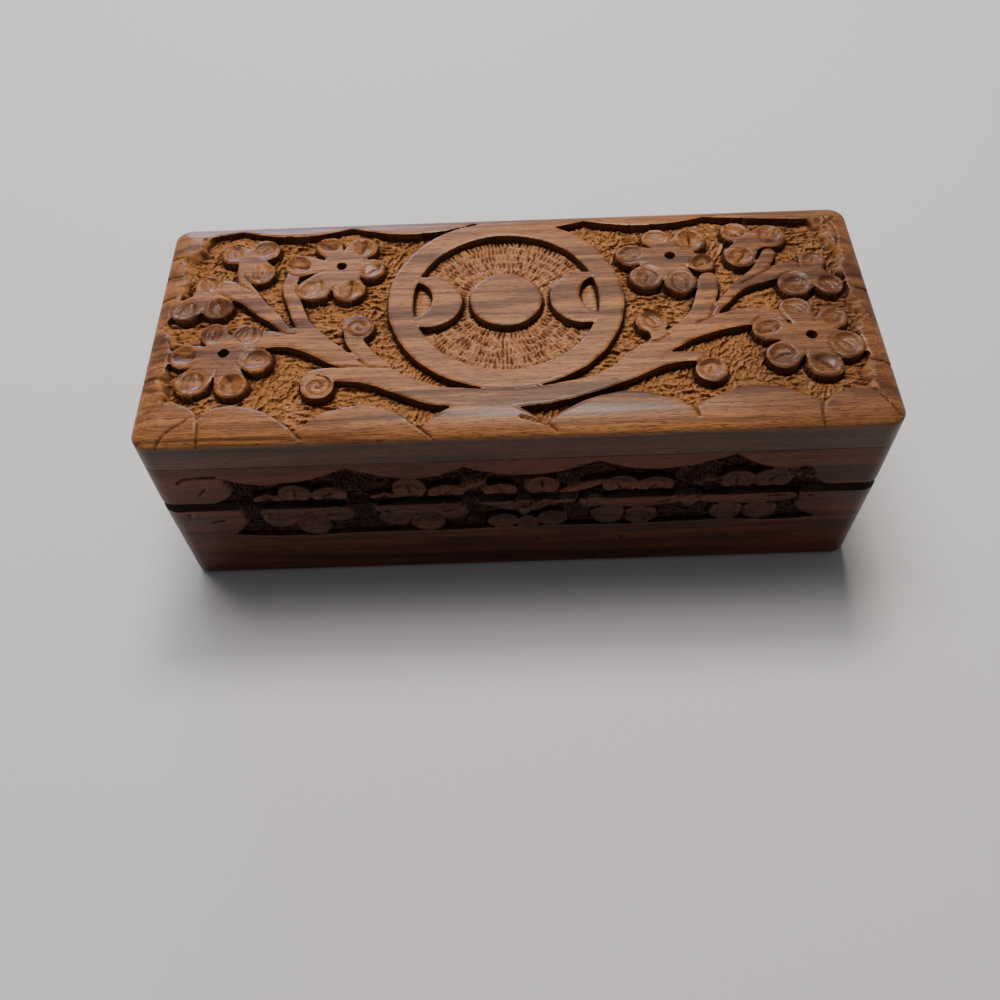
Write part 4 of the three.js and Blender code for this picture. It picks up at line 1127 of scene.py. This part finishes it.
def round_side(along, inset):
    """A point of the outline from end to end of a front board; along is measured round the corners."""
    radius = np.maximum(CORNER_RADIUS - inset, 0.3)
    straight = HALF_LENGTH - CORNER_RADIUS
    arc = CORNER_RADIUS * math.pi / 2
    flank = HALF_WIDTH - CORNER_RADIUS - INNER_Y
    beyond = np.abs(along) - straight
    turn = np.clip(beyond / arc, 0, 1) * math.pi / 2
    down = np.clip((beyond - arc) / flank, 0, 1)
    cx, cy = HALF_LENGTH - inset - radius, HALF_WIDTH - inset - radius
    x = np.clip(np.abs(along) / straight, 0, 1) * cx + radius * np.sin(turn)
    y = cy + radius * np.cos(turn)
    return np.sign(along) * x, -(y + (INNER_Y - cy) * down)


# %% The sheets of one board
MARKS_END = 0.35  # how far onto a rim the marks of the knife reach


def outer_sheet(band, inset_at, levels, columns, place):
    """The outside of a board: its points, the same laid out flat, and what the knife did at each."""
    along, z = np.meshgrid(columns, levels)
    if band:
        moved = onto_outline(along, z, band.cut)
        inside = np.zeros(z.shape, bool)
        inside[1:-1, 1:-1] = True
        along, z = np.where(inside, moved[0], along), np.where(inside, moved[1], z)
        inset, ground, stroked = band.inset(along, z, inset_at(z))
        sunk = pits(-inset, FINE)
    else:
        inset = inset_at(z)
        ground = stroked = sunk = np.zeros(z.shape)
    x, y = place(along, inset)
    # Painted shade in the seam groove, and the pits of the carving darkened, partly for dust and partly as painted
    # shade
    dark = np.maximum(sunk, groove_shade(z) * (1 - 0.5 * stroked))
    return np.dstack([x, y, z]), np.dstack([along, z]), np.dstack([ground, dark, stroked])


def rims(sheets, outer, top, bottom, columns):
    """The two rims of a board, each with a row of points where the marks of the knife end."""
    within = (np.abs(columns) < columns[-1])[:, None]
    near = lambda edge, line: edge + (line - edge) * (MARKS_END / WALL) * within
    lay = lambda rows: np.dstack([np.tile(columns, (len(rows), 1)), np.tile(np.array(rows)[:, None], len(columns))])
    sheets.add(np.array([outer[-1], near(outer[-1], top), top]), lay([0, MARKS_END, WALL]))
    sheets.add(np.array([bottom, near(outer[0], bottom), outer[0]]), lay([0, WALL - MARKS_END, WALL]))


def flat_face(sheets, ring, axes):
    """A flat face inside a closed ring of points, laid out along two of the axes."""
    centre = ring[:-1].mean(axis=0)
    sheets.fan(ring, centre, ring[:, axes], centre[axes])


# %% One board
def side_board(name, band, inset_at, levels, columns, place, inner, wraps):
    """One board: a carved outer sheet, two rims, a flat inside, and ends where the board doesn't wrap round."""
    outer, flat, masks = outer_sheet(band, inset_at, levels, columns, place)
    lines = []
    for row in (-1, 0):
        half = abs(outer[row, -1, 0]) if wraps else columns[-1]
        ix, iy = inner(columns / columns[-1] * half)
        lines.append(np.column_stack([ix, iy, np.full(len(columns), levels[row])]))
    top, bottom = lines
    sheets = Sheets()
    sheets.add(outer, flat, masks)
    rims(sheets, outer, top, bottom, columns)
    if wraps:
        ring = np.vstack([top[:-1], outer[:0:-1, -1], bottom[:0:-1], outer[:-1, 0], top[:1]])
        flat_face(sheets, ring, [0, 2])
    else:
        flat_face(sheets, np.vstack([outer[::-1, -1], bottom[-1:], top[-1:], outer[-1:, -1]]), [0, 2])
        flat_face(sheets, np.vstack([outer[:, 0], top[:1], bottom[:1], outer[:1, 0]]), [0, 2])
        flat_face(sheets, np.vstack([top, bottom[::-1], top[:1]]), [1, 2])
    return sheets.build(name, crisp=True)


# %% The four front and back boards
WRAP = HALF_LENGTH - CORNER_RADIUS + CORNER_RADIUS * math.pi / 2 + HALF_WIDTH - CORNER_RADIUS - INNER_Y
BAND_MARGIN = 1.5  # the close stations go on by this much above or below a band
JOINT_LEVELS = [PANEL_BOTTOM - JOINT_CHAMFER, PANEL_BOTTOM]
FOOT_LEVELS = FOOT_RADIUS * (1 - np.cos(np.linspace(0, math.pi / 2, 7)))
lid_stations = stretch(LID_RIM, PANEL_BOTTOM, LID_RIM, LID_RIM + LID_BAND_HEIGHT + BAND_MARGIN)
base_stations = stretch(0, BASE_RIM, BASE_RIM - BASE_BAND_HEIGHT - BAND_MARGIN, BASE_RIM)
LID_LEVELS = np.append(lid_stations[:-1], JOINT_LEVELS)
BASE_LEVELS = np.append(FOOT_LEVELS, base_stations[base_stations > FOOT_RADIUS + 0.5])
PLAIN_LID = np.array([LID_RIM, LID_RIM + GROOVE_HEIGHT, LID_RIM + 6, LID_RIM + 12] + JOINT_LEVELS)
PLAIN_BASE = np.append(FOOT_LEVELS, [8, 14, 20, 26, BASE_RIM - GROOVE_HEIGHT, BASE_RIM])
LONG_BAND_REACH, END_BAND_REACH = 0.87 * HALF_LENGTH, 0.7 * HALF_WIDTH  # from the middle to a band's ends


def long_columns(carved):
    """Stations along a front or back board, close together over its carving or round its corners."""
    if carved:
        return stretch(-WRAP, WRAP, -LONG_BAND_REACH, LONG_BAND_REACH, coarse=0.8)
    straight = HALF_LENGTH - CORNER_RADIUS
    corner = np.linspace(straight, WRAP, 12)
    return np.concatenate([-corner[::-1], np.linspace(-straight, straight, 40)[1:-1], corner])


def long_board(name, band, inset_at, levels, facing):
    """A board that faces the front (-1) or the back (1)."""
    def place(along, inset):
        x, y = round_side(along, inset)
        return -facing * x, -facing * y

    inner = lambda along: (-facing * along, np.full(len(along), facing * INNER_Y))
    return side_board(name, band, inset_at, levels, long_columns(bool(band)), place, inner, wraps=True)


lid_band = Band(LID_BAND, HALF_LENGTH, LID_RIM, 1, LID_BAND_HEIGHT, 31)
base_band = Band(BASE_BAND, HALF_LENGTH, BASE_RIM, -1, BASE_BAND_HEIGHT, 41)
lid_front = long_board("lid_front_board_carved", lid_band, lid_inset, LID_LEVELS, -1)
base_front = long_board("base_front_board_carved", base_band, base_inset, BASE_LEVELS, -1)
lid_back = long_board("lid_back_board", None, lid_inset, PLAIN_LID, 1)
base_back = long_board("base_back_board_dressed", None, base_inset, PLAIN_BASE, 1)

# %% The four end boards
def end_board(name, band, inset_at, levels, facing):
    """A board that faces the left (-1) or the right (1)."""
    columns = stretch(-INNER_Y, INNER_Y, -END_BAND_REACH, END_BAND_REACH)
    place = lambda along, inset: (facing * (HALF_LENGTH - inset), facing * along)
    inner = lambda along: (np.full(len(along), facing * (HALF_LENGTH - WALL)), facing * along)
    return side_board(name, band, inset_at, levels, columns, place, inner, wraps=False)


ends = {}
for side, facing in (("left", -1), ("right", 1)):
    band = Band(END_LID_BAND, HALF_WIDTH, LID_RIM, 1, LID_BAND_HEIGHT, 51 + facing)
    ends["lid", side] = end_board(f"lid_{side}_board_carved", band, lid_inset, LID_LEVELS, facing)
    band = Band(END_BASE_BAND, HALF_WIDTH, BASE_RIM, -1, BASE_BAND_HEIGHT, 61 + facing)
    ends["base", side] = end_board(f"base_{side}_board_carved", band, base_inset, BASE_LEVELS, facing)

# %% [markdown]
# ## Finish and place
#
# Every dressed piece is given its material and the body that it moves with, and takes the place of its solid. On
# the front the wood gets redder and darker from the top to the foot, much darker than on the back: partly darker wood
# and partly painted shade. A dark streak runs through the moons, the right end of the top is darkened as painted
# shade, the front of the base has two dark spots painted as the shade of its pin holes, and a few places are rubbed
# pale.

# %% Finish and place the top panel
def finish_piece(piece, material, body, slot, *nodes):
    """Gives a piece its material and body, and lets it take the place of its solids. The slot is not used."""
    piece.data.materials.append(material)
    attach(piece, body)
    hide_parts(*nodes)


# Painted shade: the right end of the top is darkened, where the light from the left falls off
RIGHT_END_SHADE = [((106, -30, TOP), 58, 0.38, DARK), ((106, 32, TOP), 46, 0.3, DARK)]
top_wood = rosewood("top wood", (3, 7, 11), tone=0.95, red=0.03, streak=(3.9, 0.085, 3.0), edge_tone=0.36,
                    spots=RIGHT_END_SHADE)
finish_piece(top, top_wood, "lid", "lid_top_wood", "lid_top_panel")
print("top panel placed on the body lid")

# %% The boards' wood
FRONT_FACE = FOOT_TAPER - HALF_WIDTH
# Painted shade: two dark spots where the pin holes are; the holes themselves aren't cut
PIN_HOLE_SHADE = [((5.5, FRONT_FACE, 15.2), 1.1, 1.0, DUST_AND_SHADE), ((30.5, FRONT_FACE, 14.7), 1.1, 1.0, DUST_AND_SHADE)]
RUBBED = [((-66.5, FRONT_FACE, 13.2), 1.7, 0.5, PALE), ((64.5, FRONT_FACE, 15.8), 1.9, 0.4, PALE),
          ((-91, FRONT_FACE, 8.1), 2.0, 0.45, PALE)]
# Partly painted shade: the front boards, and through cut_tone the ground of their carving, are much darker than the
# back and end boards, as the front is turned away from the lamps
front_wood = rosewood("front wood", (40, 5, 30), tone=0.30, red=0.48, sheen=0.6, cut_tone=0.19)
base_wood = rosewood("base wood", (140, 25, 60), tone=0.25, red=0.52, sheen=0.8, cut_tone=0.19, spots=PIN_HOLE_SHADE + RUBBED)
back_wood = rosewood("back wood", (240, 45, 90), tone=0.55, red=0.15)
end_wood = rosewood("end wood", (340, 65, 120), turn=math.pi / 2, tone=0.45, red=0.25, cut_tone=0.35)
floor_wood = rosewood("floor panel wood", (440, 85, 150), tone=0.5, red=0.15)
finish_piece(lid_front, front_wood, "lid", "lid_side_wood", "lid_front_rail")
finish_piece(base_front, base_wood, "base", "base_wood", "base_front_board")
finish_piece(lid_back, back_wood, "lid", "lid_side_wood", "lid_back_rail")
finish_piece(base_back, back_wood, "base", "base_wood", "base_back_board")
for (body, side), board in ends.items():
    node = f"lid_{side}_rail" if body == "lid" else f"base_{side}_end"
    finish_piece(board, end_wood, body, "lid_side_wood" if body == "lid" else "base_wood", node)
print("boards placed:", 4 + len(ends))

# %% [markdown]
# ## Hinges
#
# Two small brass butt hinges join the lid to the base at the back. Their leaves lie in mortises cut in the rims, and
# a pin runs through three knuckles. The leaves start from their solids and get rounded edges; the screws are turned
# anew, with a slot across each head.

# %% Simple tools for metal and mortises
def keep_shape(piece):
    """Makes what a piece's modifiers do part of its mesh."""
    shaped = piece.evaluated_get(bpy.context.evaluated_depsgraph_get())
    piece.data = bpy.data.meshes.new_from_object(shaped)
    piece.modifiers.clear()


def object_from(name, shape):
    """An object in metres from a bmesh in mm."""
    bmesh.ops.scale(shape, vec=(MM, MM, MM), verts=shape.verts)
    bmesh.ops.recalc_face_normals(shape, faces=shape.faces)
    mesh = bpy.data.meshes.new(name)
    shape.to_mesh(mesh)
    shape.free()
    made = bpy.data.objects.new(name, mesh)
    bpy.context.scene.collection.objects.link(made)
    return made


def bar(low, high):
    """A box between two corners."""
    shape = bmesh.new()
    size = Matrix.Diagonal((*(np.subtract(high, low)), 1))
    bmesh.ops.create_cube(shape, size=1, matrix=Matrix.Translation(np.add(low, high) / 2) @ size)
    return object_from("bar", shape)


def turned(name, profile, placed, sides=32):
    """A turned piece from pairs of radius and height; the first and the last are on the axis."""
    shape = bmesh.new()
    point = lambda radius, height, turn: placed @ Vector((radius * math.cos(turn), radius * math.sin(turn), height))
    first, last = (shape.verts.new(point(0, profile[end][1], 0)) for end in (0, -1))
    rings = [[shape.verts.new(point(*step, 2 * math.pi * k / sides)) for k in range(sides)] for step in profile[1:-1]]
    for k in range(sides):
        after = (k + 1) % sides
        shape.faces.new((first, rings[0][k], rings[0][after]))
        shape.faces.new((last, rings[-1][after], rings[-1][k]))
        for one, two in zip(rings[:-1], rings[1:]):
            shape.faces.new((one[k], two[k], two[after], one[after]))
    return object_from(name, shape)


def cut_away(piece, cutter):
    """Takes a closed mesh out of a piece."""
    cut = piece.modifiers.new("cut", "BOOLEAN")
    cut.operation, cut.solver, cut.object = "DIFFERENCE", "EXACT", cutter
    keep_shape(piece)
    bpy.data.objects.remove(cutter)


def shade_round(piece):
    """Smooth shading, with sharp edges where faces meet at a clear angle."""
    piece.data.polygons.foreach_set("use_smooth", np.ones(len(piece.data.polygons), bool))
    piece.data.set_sharp_from_angle(angle=SHARP)


ALONG_X = Matrix.Rotation(math.pi / 2, 4, "Y")
print("tools for the hinges ready")

# %% [markdown]
# A leaf is let into its rim so that the lid can shut on the base, and the barrel gets a round seat. Cutting solid
# bars and rods out of the boards leaves the crisp walls that a chisel leaves.

# %% Mortises in the back boards
LET_IN = 0.3  # clearance round a leaf
LEAF_DEPTH = 0.95  # from the pin's axis to the bottom of a leaf
OVERCUT = 2.0  # how far a cutter goes on beyond the pin's axis, into the air
for side in ("left", "right"):
    leaf_low, leaf_high = box_mm(f"hinge_{side}_base_leaf")
    pin_low, pin_high = box_mm(f"hinge_{side}_pin")
    axis_y, axis_z = (pin_low + pin_high)[1:] / 2
    x0, x1 = leaf_low[0] - LET_IN, leaf_high[0] + LET_IN
    barrel = leaf_high[1] - axis_y + LET_IN
    for board, way in ((base_back, -1), (lid_back, 1)):
        plate = np.sort([axis_z - way * OVERCUT, axis_z + way * (LEAF_DEPTH + LET_IN)])
        cut_away(board, bar((x0, leaf_low[1] - LET_IN, plate[0]), (x1, axis_y, plate[1])))
        seat = [(0, 0), (barrel, 0), (barrel, x1 - x0), (0, x1 - x0)]
        cut_away(board, turned("rod", seat, Matrix.Translation((x0, axis_y, axis_z)) @ ALONG_X))
for board in (base_back, lid_back):
    board.data.uv_layers.remove(board.data.uv_layers["OFBake"])
    shade_round(board)
    print(board.name, "with mortises:", len(board.data.polygons), "faces")

# %% [markdown]
# Small cheap hinges are stamped from sheet brass and never polished again, so they are a dull yellow with brown
# patches. The screws are a little brighter, because the driver rubs them.

# %% Brass
YELLOW, TARNISH, SCRATCHED = (0.66, 0.43, 0.155, 1), (0.30, 0.165, 0.06, 1), (0.78, 0.56, 0.26, 1)


def brass(name, place, rubbed=1.0):
    """Rubbed brass with brown tarnish in patches and fine scratches along X."""
    material, tree, shader = new_material(name)
    coords = Wire.node(tree, "ShaderNodeTexCoord", output=3)
    spread = {"Vector": coords, "Location": place, "Scale": (1 / MM,) * 3}
    spread = Wire.node(tree, "ShaderNodeMapping", {"vector_type": "POINT"}, spread)
    patches = noise(scaled(spread, 0.35, 0.5, 0.5), detail=4, rough=0.6)
    scratches = noise(scaled(spread, 0.5, 9.0, 9.0), detail=2)
    metal = mixed(tree, step_between(patches, 0.42, 0.66), YELLOW, TARNISH)
    metal = mixed(tree, step_between(scratches, 0.6, 0.7) * 0.35, metal, SCRATCHED)
    feed(tree, shader, "Base Color", toned(tree, metal, rubbed, rubbed, rubbed))
    feed(tree, shader, "Roughness", 0.34 + patches * 0.3)
    bump = {"Strength": 0.25, "Distance": 0.03 * MM, "Height": scratches + patches}
    feed(tree, shader, "Normal", Wire.node(tree, "ShaderNodeBump", None, bump))
    shader.inputs["Metallic"].default_value = 1.0
    return material


leaf_brass, screw_brass = brass("leaf brass", (5, 3, 9)), brass("screw brass", (45, 33, 19), rubbed=1.25)
print("metals:", leaf_brass.name, "and", screw_brass.name)

# %% [markdown]
# A stamped leaf has rounded edges, which catch the light, so its solid is copied, freed of its needless edges and
# given a small bevel. A pin and a screw are turned round their axis from a profile, which gives them a rounder
# outline than their solids have, and the screw's slot is cut with a bar at a chance angle, as screws end up.

# %% Leaves, pins and screws
EDGE_ROUND = 0.1  # rounding of a leaf's edges
PIN_DOME = 0.2  # rounding of a pin's ends
SHANK_RADIUS, HEAD_DEPTH, POINT_LENGTH = 0.6, 0.7, 1.2
SLOT_WIDTH, SLOT_DEPTH, HEAD_OVERHANG = 0.4, 0.38, 0.12


def dressed_leaf(node):
    """The solid's leaf with its edges rounded."""
    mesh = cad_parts[node].data.copy()
    mesh.materials.clear()
    shape = bmesh.new()
    shape.from_mesh(mesh)
    bmesh.ops.remove_doubles(shape, verts=shape.verts, dist=0.001 * MM)
    bmesh.ops.dissolve_limit(shape, angle_limit=math.radians(1), verts=shape.verts, edges=shape.edges)
    shape.to_mesh(mesh)
    shape.free()
    made = bpy.data.objects.new(f"{node}_dressed", mesh)
    bpy.context.scene.collection.objects.link(made)
    soft = made.modifiers.new("soft edges", "BEVEL")
    soft.width, soft.segments, soft.limit_method, soft.angle_limit = EDGE_ROUND * MM, 2, "ANGLE", math.radians(40)
    keep_shape(made)
    shade_round(made)
    return made


def dressed_pin(node):
    """A wire pin with slightly domed ends."""
    low, high = box_mm(node)
    length, radius = high[0] - low[0], (high[1] - low[1]) / 2
    end = [(0, 0), (0.7 * radius, 0.03), (radius, PIN_DOME)]
    profile = end + [(away, length - down) for away, down in reversed(end)]
    middle = (low + high) / 2
    made = turned(f"{node}_dressed", profile, Matrix.Translation((low[0], *middle[1:])) @ ALONG_X, sides=20)
    shade_round(made)
    return made


def dressed_screw(node, way):
    """A countersunk screw with a slot; way is 1 where it goes up and -1 where it goes down."""
    low, high = box_mm(node)
    length, head = high[2] - low[2], (high[0] - low[0]) / 2 + HEAD_OVERHANG
    face = low[2] if way > 0 else high[2]
    profile = [(0, 0), (head - 0.08, 0.0), (head, 0.06)]
    profile += [(SHANK_RADIUS, HEAD_DEPTH), (SHANK_RADIUS, length - POINT_LENGTH), (0, length)]
    middle = (low + high) / 2
    placed = Matrix.Translation((middle[0], middle[1], face)) @ Matrix.Diagonal((1, 1, way, 1))
    made = turned(f"{node}_dressed", profile, placed)
    turn = float(np.random.default_rng(int(abs(middle[0]) * 7) + way + 1).uniform(0, math.pi))
    slot = bar((-2, -SLOT_WIDTH / 2, -1), (2, SLOT_WIDTH / 2, 1))
    centre = Vector((middle[0], middle[1], face - way * (1 - SLOT_DEPTH))) * MM
    slot.data.transform(Matrix.Translation(centre) @ Matrix.Rotation(turn, 4, "Z"))
    cut_away(made, slot)
    shade_round(made)
    return made


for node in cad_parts:
    if node.startswith("hinge"):
        body = "lid" if "_lid_" in node else "base"
        if node.endswith("leaf"):
            finish_piece(dressed_leaf(node), leaf_brass, body, "hinge_brass", node)
        elif node.endswith("pin"):
            finish_piece(dressed_pin(node), leaf_brass, body, "hinge_brass", node)
        else:
            finish_piece(dressed_screw(node, 1 if body == "lid" else -1), screw_brass, body, "screw_brass", node)
print("hinges dressed:", sum(node.endswith("pin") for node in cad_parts))

# %% [markdown]
# ## The bottom board and the ground
#
# The bottom board is a plain planed board with no visible edges, so its solid is good enough and only gets a wood.
# The box stands on a pale matt floor, which is wide enough to have no edge in the picture and belongs to the stage,
# not to the part.

# %% The floor panel keeps its solid
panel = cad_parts["base_floor_panel"]
panel.data.materials.clear()
panel.data.materials.append(floor_wood)
print("floor panel:", panel.data.materials[0].name)

# %% Floor
FLOOR_REACH = 3  # metres from the middle to each side
floor_mesh = bpy.data.meshes.new("floor")
corners = [(x * FLOOR_REACH, y * FLOOR_REACH, 0) for x, y in ((-1, -1), (1, -1), (1, 1), (-1, 1))]
floor_mesh.from_pydata(corners, [], [(0, 1, 2, 3)])
floor = bpy.data.objects.new("floor", floor_mesh)
bpy.context.scene.collection.objects.link(floor)
floor_material, _, floor_shader = new_material("pale floor")
floor_shader.inputs["Base Color"].default_value = (0.62, 0.61, 0.61, 1)
floor_shader.inputs["Roughness"].default_value = 0.9
floor.data.materials.append(floor_material)
print(f"floor {2 * FLOOR_REACH} m wide")
